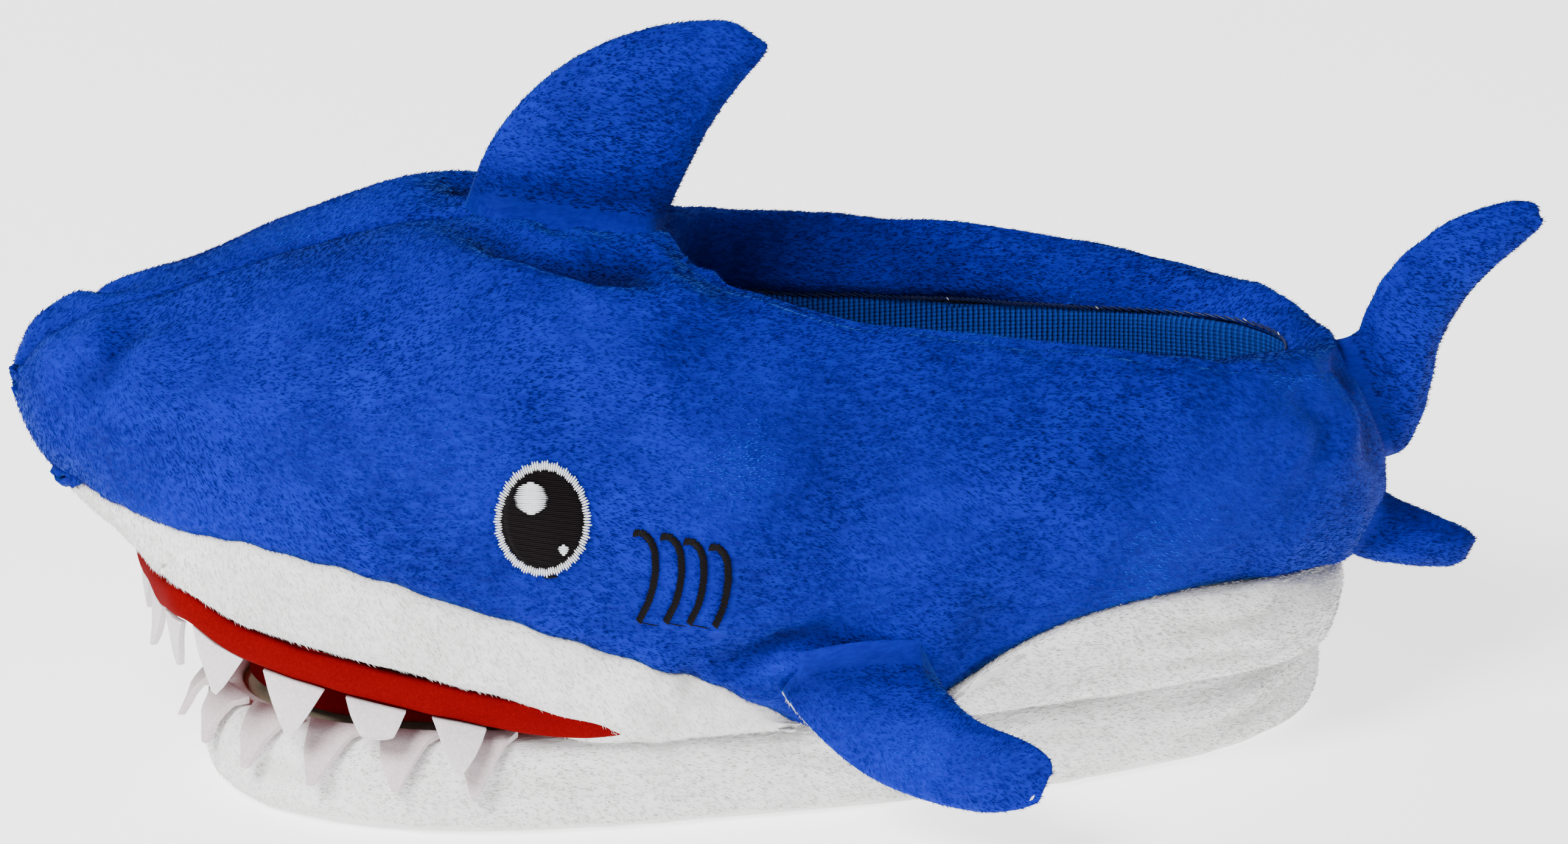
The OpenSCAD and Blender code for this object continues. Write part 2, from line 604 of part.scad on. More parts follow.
module upper_tooth(i) {
    s0 = (i - (UPPER_TEETH + 1) / 2) * tooth_pitch;
    lean = TOOTH_LEAN * ease((abs(s0) - 30) / 40);
    function grid(deep) = [for (q = steps(0, 1, 4)) [for (k = [-1:1])
        shifted(s0 + k * tooth_half(tooth_width, q), TOOTH_IN + deep - lean * q * (2 - q),
            gum_height + TOOTH_GAP + tooth_drop * q)]];
    color(felt_white)
        slab(grid(felt), grid(0));
}

jaw_line = [for (t = steps(-90, 90, 60)) let (q = sole_point(t, 0)) [q[0], q[1], 0]];
jaw_run = runs(jaw_line);
// The angle round the sole at a distance from the chin
function jaw_angle(s) = lookup(s, [for (i = [0:60]) [jaw_run[i], mix(-90, 90, i / 60)]]);
// [inset, height] of a tooth's back and of its front, from its seam over the jaw's edge to its tip
lower_tooth_back = [[4.6, wrap_height + 0.4], [2.3, 0.95 * wrap_height + 0.7], [0.3, 0.78 * wrap_height + 0.3],
    [-0.4, 0.55 * wrap_height]];
lower_tooth_front = [[4.3, wrap_height + 2], [1.2, 0.95 * wrap_height + 2], [-1.2, 0.8 * wrap_height + 0.6],
    [-2, 0.55 * wrap_height]];

module lower_tooth(i) {
    s0 = (i - (LOWER_TEETH + 1) / 2) * lower_tooth_pitch;
    function grid(section) = [for (j = [0:3]) [for (k = [-1:1])
        let (q = sole_point(jaw_angle(s0 + k * tooth_half(lower_tooth_width, j / 3)), section[j][0]))
        [q[0], q[1], section[j][1]]]];
    color(felt_white)
        slab(grid(lower_tooth_back), grid(lower_tooth_front));
}

// ---------- Embroidery ----------

EYE_X = -64;
EYE_Z = 75.5;
EYE_STEPS = 28;
eye_x = along(EYE_X);
eye_z = lift(EYE_Z);
ring_share = 0.78;
thread_gap = 0.25;

// A round patch on the plush between two shares of the eye's size; its middle may be moved, in shares too
module patch(from, to, low, high, side, at = [0, 0], points = EYE_STEPS) {
    function ring(share, d) = [for (i = [0:points - 1]) let (a = side * 360 * i / points)
        on_skin(eye_x + eye_width / 2 * (at[0] + share * cos(a)), eye_z + eye_height / 2 * (at[1] + share * sin(a)),
            -d, side)];
    if (from > 0)
        loft([ring(from, high), ring(from, low), ring(to, low), ring(to, high)], loop = true);
    else
        loft([ring(0.4 * to, low), ring(to, low), ring(to, high), ring(0.4 * to, high)]);
}

module eye_black(side) {
    color(black)
        patch(0, ring_share, thread_gap, thread_gap + embroidery, side);
}

module eye_white(side) {
    top = thread_gap + embroidery;
    color(felt_white) {
        patch(ring_share + 0.02, 1, thread_gap, top, side);
        patch(0, 0.26, top + 0.1, top + embroidery / 2, side, [-0.3, 0.42], 14);
        patch(0, 0.09, top + 0.1, top + embroidery / 2, side, [0.32, -0.48], 8);
    }
}

GILLS = 4;
GILL_X = -35;
GILL_Z = 61.5;
GILL_BOW = 2.4;
GILL_HALF = 1.1;
module gills(side) {
    function grid(k, d) = [for (q = steps(0, 1, 9)) [for (w = [-1, 1])
        on_skin(
            along(GILL_X) + (k - (GILLS - 1) / 2) * gill_pitch + GILL_BOW * sin(180 * q) + w * GILL_HALF,
            lift(GILL_Z) + gill_length * (0.5 - q) - 1.2 * k, -d, side)]];
    color(black)
        for (k = [0:GILLS - 1])
            sided_slab(grid(k, thread_gap + embroidery), grid(k, thread_gap), side);
}

// ---------- Fins ----------

// A fin is a list of stations [share of its length, front edge, rear edge], the first of them its root.
// It turns about its root, where its section is round, so that it keeps clear of the body.
FIN_COLUMNS = 8;
ROOT_ANGLES = [-90, -55, -20];
FIN_SHARES = [0, 0.15, 0.32, 0.5, 0.68, 0.84, 0.95, 1];
function edge_at(fin, t, k) = [for (i = [0:2]) curve([for (p = fin) [p[0], p[k][i]]], t)];
function fin_at(fin, t, c) = mix(edge_at(fin, t, 1), edge_at(fin, t, 2), c);
function fin_chord(fin, t) = edge_at(fin, t, 2) - edge_at(fin, t, 1);
function fin_normal(fin, t) = let (u = clamp01(t - 0.03))
    unit(cross(fin_chord(fin, t), fin_at(fin, u + 0.06, 0.5) - fin_at(fin, u, 0.5)));
function fin_up(fin) = unit(cross(fin_normal(fin, 0), fin_chord(fin, 0)));
function fin_round(c) = 0.22 + 0.78 * pow(4 * c * (1 - c), 0.6);
function fin_half(thick, t) =
    mix(root_radius, thick / 2, ease(t / 0.3)) * (1 - 0.35 * t) * pow(max(0, 1 - pow(t, 6)), 0.5);

// A point on the fin's face k (1 or -1), inset by d from its outside and away from its seam by away
function fin_face(fin, thick, row, c, k, d, away) =
    let (
        t = row < len(ROOT_ANGLES) ? 0 : FIN_SHARES[row - len(ROOT_ANGLES)] * (1 - d / 40),
        shrink = 1 - d / (thick / 2),
        length = norm(fin_chord(fin, t)),
        u = 0.5 + (c - 0.5) * max(0.25, 1 - 2 * d / length),
        n = fin_normal(fin, t),
        r = root_radius * fin_round(c) * (1 - d / root_radius))
    row < len(ROOT_ANGLES)
    ? fin_at(fin, 0, u) + r * sin(ROOT_ANGLES[row]) * fin_up(fin)
        + k * max(away, r * cos(ROOT_ANGLES[row])) * n
    : fin_at(fin, t, u) + k * (away + fin_half(thick, t) * fin_round(c) * shrink) * n;

fin_rows = len(ROOT_ANGLES) + len(FIN_SHARES);

module fin_shell(fin, thick, k) {
    function grid(d) = [for (row = [0:fin_rows - 1]) [for (j = [0:FIN_COLUMNS])
        fin_face(fin, thick, row, j / FIN_COLUMNS, k, d, seam_gap / 2)]];
    sided_slab(grid(0), grid(plush), k);
}

module fin_stuffing(fin, thick) {
    d = plush + seam_gap;
    color(fill)
        loft([for (row = [1:fin_rows - 1]) concat(
            [for (j = [0:FIN_COLUMNS]) fin_face(fin, thick, row, j / FIN_COLUMNS, -1, d, seam_gap / 2)],
            [for (j = [FIN_COLUMNS:-1:0]) fin_face(fin, thick, row, j / FIN_COLUMNS, 1, d, seam_gap / 2)])]);
}

// Edges that grow from a root point by [x, y, z] offsets, scaled by k
function grown(root_front, root_rear, table, k) =
    [for (p = table) [p[0], root_front + p[1] * k, root_rear + p[2] * k]];
root_clear = root_radius + seam_gap + 0.75;

DORSAL_HEIGHT = 31;
DORSAL = [[0, [0, 0, 0], [0, 0, 0]], [0.2, [5, 0, 9.5], [2.5, 0, 5.7]], [0.4, [12.5, 0, 18], [5.2, 0, 11.7]],
    [0.6, [23, 0, 25.5], [9, 0, 18.7]], [0.8, [37, 0, 30], [14.2, 0, 25.7]], [0.93, [51, 0, 31], [18.5, 0, 30.7]],
    [1, [60, 0, 29.3], [19.3, 0, 34.2]]];
function on_ridge(d) = let (x = along(d)) [x, 0, top_at(x) + root_clear];
dorsal = grown(on_ridge(-69), on_ridge(-22.5), DORSAL, dorsal_height / DORSAL_HEIGHT);

// The left pectoral fin; its root lies low on the side, in front of the belly panel
PECTORAL_LENGTH = 48;
PECTORAL = [[0, [0, 0, 0], [0, 0, 0]], [0.2, [9, -5, -10], [2, -7, -1.5]], [0.4, [17, -10, -15.5], [3, -14, -1.5]],
    [0.6, [26, -16, -18], [5.5, -20, -1.5]], [0.8, [36, -22, -19.5], [10, -26, -2]],
    [0.93, [44, -27, -18.5], [14, -30, -3]], [1, [50.5, -31, -13.5], [16.5, -32.5, -8]]];
function on_side(d, z) = let (x = along(d)) [x, -breadth(x, lift(z)) - root_clear, lift(z)];
pectoral = grown(on_side(-14, 32), on_side(22, 33), PECTORAL, pectoral_length / PECTORAL_LENGTH);

TAIL_REACH = 36;
TAIL_UPPER = [[0, [0, 0, 0], [0, 0, 0]], [0.2, [2.5, 0, 9], [4.3, 0, 9]], [0.4, [8, 0, 16], [6.3, 0, 18.5]],
    [0.55, [14, 0, 20.5], [7.3, 0, 28]], [0.7, [21.5, 0, 24.8], [12.5, 0, 36]], [0.85, [29.5, 0, 26.8], [20, 0, 43.3]],
    [0.95, [36, 0, 27.2], [27, 0, 48.5]], [1, [40, 0, 24.8], [30.8, 0, 52]]];
TAIL_LOWER = [[0, [0, 0, 0], [0, 0, 0]], [0.35, [6.5, 0, -3.3], [7, 0, -1.6]], [0.7, [12.5, 0, -6.5], [15, 0, -3]],
    [0.9, [16.5, 0, -9], [21.5, 0, -3.3]], [1, [17.4, 0, -10.7], [24.5, 0, -1.4]]];
// A point on the heel seam, moved out from the body
function on_heel(d, z, out) = [along(d) + out[0] * root_clear, 0, lift(z) + out[1] * root_clear];
UPPER_OUT = [0.95, 0.31];
LOWER_OUT = [0.82, -0.57];
tail_upper = grown(on_heel(122, 82, UPPER_OUT), on_heel(132.6, 52, UPPER_OUT), TAIL_UPPER, tail_reach / TAIL_REACH);
tail_lower = grown(on_heel(132.2, 47.5, LOWER_OUT), on_heel(122.6, 34, LOWER_OUT), TAIL_LOWER,
    tail_reach / TAIL_REACH);

module dorsal_fin_half(side) {
    color(blue)
        fin_shell(dorsal, dorsal_thick, -side);
}

module pectoral_half(side, face) {
    color(face > 0 ? white : blue)
        mirror([0, side == RIGHT ? 1 : 0, 0])
            fin_shell(pectoral, pectoral_thick, face);
}

module pectoral_stuffing(side) {
    mirror([0, side == RIGHT ? 1 : 0, 0])
        fin_stuffing(pectoral, pectoral_thick);
}

module tail_half(lobe, side) {
    color(blue)
        fin_shell(lobe, tail_thick, -side);
}

// ---------- All ----------

outsole();
sole_foam();
sole_wrap();
footbed();
foot_lining();
collar_facing();
upper(LEFT);  // upper_left
upper(RIGHT);  // upper_right
lip(LEFT);  // lip_left
lip(RIGHT);  // lip_right
belly(LEFT);  // belly_left
belly(RIGHT);  // belly_right
gum_band();
mouth_lining();
snout_stuffing();
vamp_padding();
wall_padding(LEFT);  // wall_padding_left
wall_padding(RIGHT);  // wall_padding_right
eye_black(LEFT);  // eye_left_black
eye_white(LEFT);  // eye_left_white
eye_black(RIGHT);  // eye_right_black
eye_white(RIGHT);  // eye_right_white
gills(LEFT);  // gills_left
gills(RIGHT);  // gills_right
dorsal_fin_half(LEFT);  // dorsal_fin_left
dorsal_fin_half(RIGHT);  // dorsal_fin_right
fin_stuffing(dorsal, dorsal_thick);  // dorsal_fin_stuffing
pectoral_half(LEFT, -1);  // pectoral_left_top
pectoral_half(LEFT, 1);  // pectoral_left_underside
pectoral_stuffing(LEFT);  // pectoral_left_stuffing
pectoral_half(RIGHT, -1);  // pectoral_right_top
pectoral_half(RIGHT, 1);  // pectoral_right_underside
pectoral_stuffing(RIGHT);  // pectoral_right_stuffing
tail_half(tail_upper, LEFT);  // tail_upper_left
tail_half(tail_upper, RIGHT);  // tail_upper_right
fin_stuffing(tail_upper, tail_thick);  // tail_upper_stuffing
tail_half(tail_lower, LEFT);  // tail_lower_left
tail_half(tail_lower, RIGHT);  // tail_lower_right
fin_stuffing(tail_lower, tail_thick);  // tail_lower_stuffing
for (i = [1:UPPER_TEETH])
    upper_tooth(i);
for (i = [1:LOWER_TEETH])
    lower_tooth(i);
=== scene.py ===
import json
import math

import bmesh
import bpy
import numpy as np
from mathutils import Matrix, Vector, noise
from mathutils.bvhtree import BVHTree
from mathutils.kdtree import KDTree

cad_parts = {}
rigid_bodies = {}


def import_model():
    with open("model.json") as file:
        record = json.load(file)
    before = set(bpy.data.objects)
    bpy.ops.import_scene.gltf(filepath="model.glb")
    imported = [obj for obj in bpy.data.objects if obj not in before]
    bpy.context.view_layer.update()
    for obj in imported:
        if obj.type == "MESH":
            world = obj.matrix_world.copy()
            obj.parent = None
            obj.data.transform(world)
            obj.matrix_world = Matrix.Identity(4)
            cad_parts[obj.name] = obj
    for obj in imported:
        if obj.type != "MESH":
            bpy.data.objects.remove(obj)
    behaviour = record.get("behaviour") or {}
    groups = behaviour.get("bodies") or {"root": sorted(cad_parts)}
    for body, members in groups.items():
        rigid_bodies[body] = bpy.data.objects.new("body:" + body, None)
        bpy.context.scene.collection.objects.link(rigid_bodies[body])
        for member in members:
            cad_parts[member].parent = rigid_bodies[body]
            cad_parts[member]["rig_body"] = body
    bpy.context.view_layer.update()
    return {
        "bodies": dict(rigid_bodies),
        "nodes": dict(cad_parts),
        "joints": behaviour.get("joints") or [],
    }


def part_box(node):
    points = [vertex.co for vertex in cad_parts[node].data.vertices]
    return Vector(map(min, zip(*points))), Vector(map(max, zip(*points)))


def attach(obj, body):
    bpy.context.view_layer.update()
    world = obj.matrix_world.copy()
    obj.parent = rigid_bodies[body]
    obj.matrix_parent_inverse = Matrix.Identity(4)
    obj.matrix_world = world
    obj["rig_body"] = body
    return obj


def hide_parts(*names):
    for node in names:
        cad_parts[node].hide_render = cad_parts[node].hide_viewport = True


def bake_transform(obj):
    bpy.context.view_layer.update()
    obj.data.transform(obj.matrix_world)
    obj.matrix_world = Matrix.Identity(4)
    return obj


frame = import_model()
cad = frame["nodes"]
mm = 0.001
scene = bpy.context.scene
print("frame loaded:", len(cad), "nodes")


# an object from a bmesh or a mesh
def newPiece(name, source, materials, body=None, stands=(), smooth=True):
    if isinstance(source, bmesh.types.BMesh):
        mesh = bpy.data.meshes.new(name)
        source.to_mesh(mesh)
        source.free()
    else:
        mesh = source
        mesh.name = name
    if mesh.materials:
        mesh.materials.clear()
    for material in materials:
        mesh.materials.append(material)
    mesh.polygons.foreach_set("use_smooth", [smooth] * len(mesh.polygons))
    piece = bpy.data.objects.new(name, mesh)
    scene.collection.objects.link(piece)
    if body:
        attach(piece, body)
    if stands:
        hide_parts(*stands)
    return piece


def bake(piece):  # the mesh as its modifiers leave it
    depsgraph = bpy.context.evaluated_depsgraph_get()
    mesh = bpy.data.meshes.new_from_object(piece.evaluated_get(depsgraph))
    piece.modifiers.clear()
    old, piece.data = piece.data, mesh
    bpy.data.meshes.remove(old)
    return mesh


def addModifier(piece, kind, **values):
    modifier = piece.modifiers.new(kind.lower(), kind)
    for key, value in values.items():
        setattr(modifier, key, value)
    return modifier


def places(mesh):
    co = np.zeros(len(mesh.vertices) * 3, np.float32)
    mesh.vertices.foreach_get("co", co)
    return co.reshape(-1, 3).astype(float)


def normals(mesh):
    no = np.zeros(len(mesh.vertices) * 3, np.float32)
    mesh.vertices.foreach_get("normal", no)
    return no.reshape(-1, 3).astype(float)


def moveTo(mesh, co):
    mesh.vertices.foreach_set("co", co.astype(np.float32).ravel())
    mesh.update()


def ease(t):
    t = np.clip(t, 0, 1)
    return t * t * (3 - 2 * t)


def noiseAt(co, size, seed=0.0):  # smooth noise from -1 to 1, its cells about size across
    offset = Vector((seed * 7.31, seed * 3.7, seed * 1.9))
    return np.array([noise.noise(Vector(p) / size + offset) for p in co])


def skinOf(node, middle, bend=50):  # the outer faces of a thin solid
    bm = bmesh.new()
    bm.from_mesh(cad[node].data)
    bmesh.ops.remove_doubles(bm, verts=bm.verts, dist=0.02 * mm)
    bm.normal_update()
    left, best, keep = set(bm.faces), 0, []
    while left:
        patch, edge, out = [], [left.pop()], 0
        while edge:
            face = edge.pop()
            patch.append(face)
            centre = face.calc_center_median()
            out += face.calc_area() * face.normal.dot((centre - middle(centre)).normalized())
            for other in {f for e in face.edges for f in e.link_faces} & left:
                if face.normal.angle(other.normal, 3.0) < math.radians(bend):
                    left.remove(other)
                    edge.append(other)
        if out > best:
            best, keep = out, patch
    kept = set(keep)
    bmesh.ops.delete(bm, geom=[f for f in bm.faces if f not in kept], context="FACES")
    bmesh.ops.join_triangles(bm, faces=bm.faces, angle_face_threshold=math.radians(50),
                             angle_shape_threshold=math.radians(100))
    return bm


def borderLoops(bm):  # the open borders, as lists of edges
    left, loops = {e for e in bm.edges if e.is_boundary}, []
    while left:
        loop, edge = [], [left.pop()]
        while edge:
            e = edge.pop()
            loop.append(e)
            for other in {o for v in e.verts for o in v.link_edges} & left:
                left.remove(other)
                edge.append(other)
        loops.append(loop)
    return loops


def nearLine(co, line):  # the distance from a line of points, and the share of the way along it
    best, share = np.full(len(co), 1e9), np.zeros(len(co))
    line = np.array(line, float)
    steps = np.linalg.norm(np.diff(line, axis=0), axis=1)
    total, run = steps.sum(), 0
    for a, b, step in zip(line[:-1], line[1:], steps):
        t = np.clip(((co - a) @ (b - a)) / step ** 2, 0, 1)
        d = np.linalg.norm(co - (a + t[:, None] * (b - a)), axis=1)
        closer = d < best
        best[closer], share[closer] = d[closer], (run + t[closer] * step) / total
        run += step
    return best, share


def link(tree, a, b):
    tree.links.new(a, b)


def makeGroup(name, inputs, outputs):
    tree = bpy.data.node_groups.new(name, "ShaderNodeTree")
    for socket, kind, value in inputs:
        tree.interface.new_socket(socket, in_out="INPUT", socket_type=kind).default_value = value
    for socket, kind in outputs:
        tree.interface.new_socket(socket, in_out="OUTPUT", socket_type=kind)
    return tree, tree.nodes.new("NodeGroupInput"), tree.nodes.new("NodeGroupOutput")


def addNode(tree, kind, inputs=None, **settings):
    node = tree.nodes.new(kind)
    for key, value in settings.items():
        setattr(node, key, value)
    for key, value in (inputs or {}).items():
        if isinstance(value, bpy.types.NodeSocket):
            tree.links.new(value, node.inputs[key])
        else:
            node.inputs[key].default_value = value
    return node


def mixColour(tree, factor, a, b):
    node = addNode(tree, "ShaderNodeMix", data_type="RGBA")
    for socket, value in zip((node.inputs[0], node.inputs[6], node.inputs[7]), (factor, a, b)):
        if isinstance(value, bpy.types.NodeSocket):
            link(tree, value, socket)
        else:
            socket.default_value = value
    return node.outputs[2]


def makeNapGroup():  # patches where the pile lies another way, and the fine streaks of the pile itself
    tree, given, out = makeGroup("plushNap", [
        ("Patch size", "NodeSocketFloat", 40.0), ("Streak size", "NodeSocketFloat", 700.0),
        ("Streak length", "NodeSocketFloat", 4.0)],
        [("Patches", "NodeSocketFloat"), ("Streaks", "NodeSocketFloat")])
    place = addNode(tree, "ShaderNodeTexCoord").outputs["Object"]
    patches = addNode(tree, "ShaderNodeTexNoise", {"Vector": place, "Scale": given.outputs["Patch size"],
                                                   "Detail": 3.0, "Roughness": 0.6, "Distortion": 0.8})
    swirl = addNode(tree, "ShaderNodeTexNoise", {"Vector": place, "Scale": 22.0, "Detail": 1.0})
    swirlBit = addNode(tree, "ShaderNodeVectorMath", {0: swirl.outputs["Color"], 3: 0.012},
                       operation="SCALE")
    bent = addNode(tree, "ShaderNodeVectorMath", {0: place, 1: swirlBit.outputs[0]}, operation="ADD")
    squeeze = addNode(tree, "ShaderNodeCombineXYZ", {"X": 0.28, "Y": 1.0, "Z": 1.0})
    long = addNode(tree, "ShaderNodeVectorMath", {0: bent.outputs[0], 1: squeeze.outputs[0]},
                   operation="MULTIPLY")
    streaks = addNode(tree, "ShaderNodeTexNoise",
                      {"Vector": long.outputs[0], "Scale": given.outputs["Streak size"],
                                                   "Detail": 2.0, "Roughness": 0.65})
    link(tree, patches.outputs["Fac"], out.inputs["Patches"])
    link(tree, streaks.outputs["Fac"], out.inputs["Streaks"])
    return tree


napGroup = makeNapGroup()


def plushMaterial(name, look):  # pile fabric: three tones by nap, painted shade that darkens the hollows, and a soft sheen
    material = bpy.data.materials.new(name)
    material.use_nodes = True
    tree = material.node_tree
    shader = tree.nodes["Principled BSDF"]
    nap = addNode(tree, "ShaderNodeGroup", node_tree=napGroup)
    nap.inputs["Patch size"].default_value = look["patchSize"]
    nap.inputs["Streak size"].default_value = look["streakSize"]
    patches = addNode(tree, "ShaderNodeMapRange",
                      {"Value": nap.outputs["Patches"], "From Min": 0.35, "From Max": 0.65})
    streaks = addNode(tree, "ShaderNodeMapRange",
                      {"Value": nap.outputs["Streaks"], "From Min": 0.3, "From Max": 0.7})
    tone = mixColour(tree, patches.outputs[0], look["deep"], look["main"])
    streaky = mixColour(tree, addNode(tree, "ShaderNodeMath", {0: streaks.outputs[0], 1: look["streak"]},
                                      operation="MULTIPLY").outputs[0], tone, look["light"])
    # the hollows of folds and seams are painted darker: painted shade
    hollow = addNode(tree, "ShaderNodeAttribute", attribute_name="hollow")
    shaded = mixColour(tree, hollow.outputs["Fac"], streaky, look["hollow"])
    link(tree, shaded, shader.inputs["Base Color"])
    shader.inputs["Roughness"].default_value = 0.85
    shader.inputs["Specular IOR Level"].default_value = 0.15
    shader.inputs["Sheen Weight"].default_value = look["sheen"]
    shader.inputs["Sheen Roughness"].default_value = 0.35
    shader.inputs["Sheen Tint"].default_value = look["sheenTint"]
    bump = addNode(tree, "ShaderNodeBump",
                   {"Height": nap.outputs["Streaks"], "Strength": 0.8, "Distance": 0.5 * mm})
    link(tree, bump.outputs[0], shader.inputs["Normal"])
    return material


# the hollow tone in each look is a painted shade for the folds and seams
bluePlushLook = {"deep": (0.0, 0.0, 0.12, 1), "main": (0.0, 0.003, 0.25, 1),
                 "light": (0.002, 0.025, 0.5, 1),
                 "hollow": (0.0, 0.0, 0.06, 1), "streak": 0.35, "patchSize": 34.0, "streakSize": 900.0,
                 "sheen": 0.22, "sheenTint": (0.08, 0.35, 1.0, 1)}
whitePlushLook = {"deep": (0.62, 0.61, 0.60, 1), "main": (0.78, 0.77, 0.76, 1),
                  "light": (0.9, 0.9, 0.89, 1),
                  "hollow": (0.42, 0.40, 0.37, 1), "streak": 0.5, "patchSize": 30.0, "streakSize": 900.0,
                  "sheen": 0.3, "sheenTint": (1, 1, 1, 1)}
bluePlush = plushMaterial("bluePlush", bluePlushLook)
whitePlush = plushMaterial("whitePlush", whitePlushLook)
print("materials made")


view = {"azimuth": -12, "elevation": 20, "width": 337.5, "distance": 3000, "aim": (0, 0, 72),
        "sensor": 36}


def makeCamera():
    turn, tilt = math.radians(view["azimuth"]), math.radians(view["elevation"])
    back = Vector((math.sin(turn) * math.cos(tilt), -math.cos(turn) * math.cos(tilt), math.sin(tilt)))
    data = bpy.data.cameras.new("camera")
    data.sensor_width = view["sensor"]
    data.lens = view["sensor"] * view["distance"] / view["width"]
    data.clip_end = 50
    camera = bpy.data.objects.new("camera", data)
    camera.location = (Vector(view["aim"]) + back * view["distance"]) * mm
    camera.rotation_euler = back.to_track_quat("Z", "Y").to_euler()
    scene.collection.objects.link(camera)
    scene.camera = camera


def addLight(name, place, aim, size, power):
    data = bpy.data.lights.new(name, "AREA")
    data.shape, data.size, data.energy = "DISK", size, power
    lamp = bpy.data.objects.new(name, data)
    lamp.location = place
    lamp.rotation_euler = (Vector(place) - Vector(aim)).to_track_quat("Z", "Y").to_euler()
    scene.collection.objects.link(lamp)


studio = {
    "floorSize": 6, "floorDrop": 0.1 * mm, "floorColour": (0.86, 0.86, 0.87, 1), "floorGlow": 1.9,
    "skyColour": (0.95, 0.97, 1, 1), "skyStrength": 0.22,
    "lights": [("keyLight", (-1.0, -0.9, 1.3), (-0.02, 0, 0.06), 0.8, 66),
               ("fillLight", (0.8, -1.4, 0.6), (0, 0, 0.06), 0.9, 3),
               ("backLight", (-0.5, 1.1, 1.2), (0, 0, 0.06), 0.8, 9)],
}


def makeStudio():
    bm = bmesh.new()
    bmesh.ops.create_grid(bm, x_segments=8, y_segments=8, size=studio["floorSize"])
    material = bpy.data.materials.new("paleFloor")
    material.use_nodes = True
    shader = material.node_tree.nodes["Principled BSDF"]
    shader.inputs["Base Color"].default_value = studio["floorColour"]
    shader.inputs["Roughness"].default_value = 0.7
    shader.inputs["Emission Color"].default_value = (1, 1, 1, 1)
    shader.inputs["Emission Strength"].default_value = studio["floorGlow"]
    floor = newPiece("floor", bm, [material])
    floor.location.z = -studio["floorDrop"]
    world = bpy.data.worlds.new("studio")
    scene.world = world
    world.use_nodes = True
    sky = world.node_tree.nodes["Background"]
    sky.inputs["Color"].default_value = studio["skyColour"]
    sky.inputs["Strength"].default_value = studio["skyStrength"]
    for light in studio["lights"]:
        addLight(*light)


makeCamera()
makeStudio()
print("camera, floor and lights made")


clothLook = {"quality": 5, "mass": 0.2, "tension_stiffness": 20, "compression_stiffness": 20,
             "bending_stiffness": 0.5, "use_pressure": True}
clothFrames = 16


def puff(piece, held, pressure, cap):  # the stuffing presses the cloth out between its seams
    before = places(piece.data)
    group = piece.vertex_groups.new(name="held")
    group.add([int(i) for i in held], 1.0, "REPLACE")
    modifier = piece.modifiers.new("cloth", "CLOTH")
    settings = modifier.settings
    settings.vertex_group_mass = group.name
    for key, value in clothLook.items():
        setattr(settings, key, value)
    settings.uniform_pressure_force = pressure
    settings.effector_weights.gravity = 0
    modifier.point_cache.frame_start = 1
    modifier.point_cache.frame_end = clothFrames
    for frameNumber in range(1, clothFrames + 1):
        scene.frame_set(frameNumber)
    settled = bake(piece)
    scene.frame_set(1)
    shift = places(settled) - before
    far = np.linalg.norm(shift, axis=1)
    print("puffed", piece.name, len(before), "places, most", round(float(far.max()) / mm, 1), "mm")
    moveTo(settled, before + shift * np.minimum(1, cap / np.maximum(far, 1e-9))[:, None])
    piece.vertex_groups.clear()


def plainMaterial(name, colour):  # one fibre: its colour varies from fibre to fibre by slot
    material = bpy.data.materials.new(name)
    material.use_nodes = True
    shader = material.node_tree.nodes["Principled BSDF"]
    shader.inputs["Base Color"].default_value = colour
    shader.inputs["Roughness"].default_value = 0.7
    shader.inputs["Specular IOR Level"].default_value = 0.12
    shader.inputs["Sheen Weight"].default_value = 0.06
    shader.inputs["Sheen Tint"].default_value = tuple(min(1, c * 2 + 0.05) for c in colour[:3]) + (1,)
    return material


blueTones = [plainMaterial(f"blueFibre{i}", c) for i, c in enumerate((
    (0.0, 0.0, 0.10, 1), (0.0, 0.001, 0.17, 1), (0.0, 0.004, 0.26, 1), (0.001, 0.012, 0.39, 1),
    (0.003, 0.05, 0.66, 1)))]
whiteTones = [plainMaterial(f"whiteFibre{i}", c) for i, c in enumerate((
    (0.74, 0.72, 0.69, 1), (0.80, 0.79, 0.77, 1), (0.85, 0.84, 0.83, 1), (0.93, 0.93, 0.93, 1)))]
bluePile = {"tones": blueTones, "slot": "plush_blue", "perArea": 2.6e6, "length": 1.15 * mm,
            "width": 0.12 * mm, "lean": 0.74, "stray": 0.16, "most": 65000}
whitePile = {"tones": whiteTones, "slot": "plush_white", "perArea": 2.2e6, "length": 1.15 * mm,
             "width": 0.12 * mm, "lean": 0.76, "stray": 0.16, "most": 60000}


def readAttribute(mesh, name, kind, width):
    values = np.zeros(len(mesh.vertices) * width, np.float32)
    mesh.attributes[name].data.foreach_get(kind, values)
    return values.reshape(-1, width) if width > 1 else values


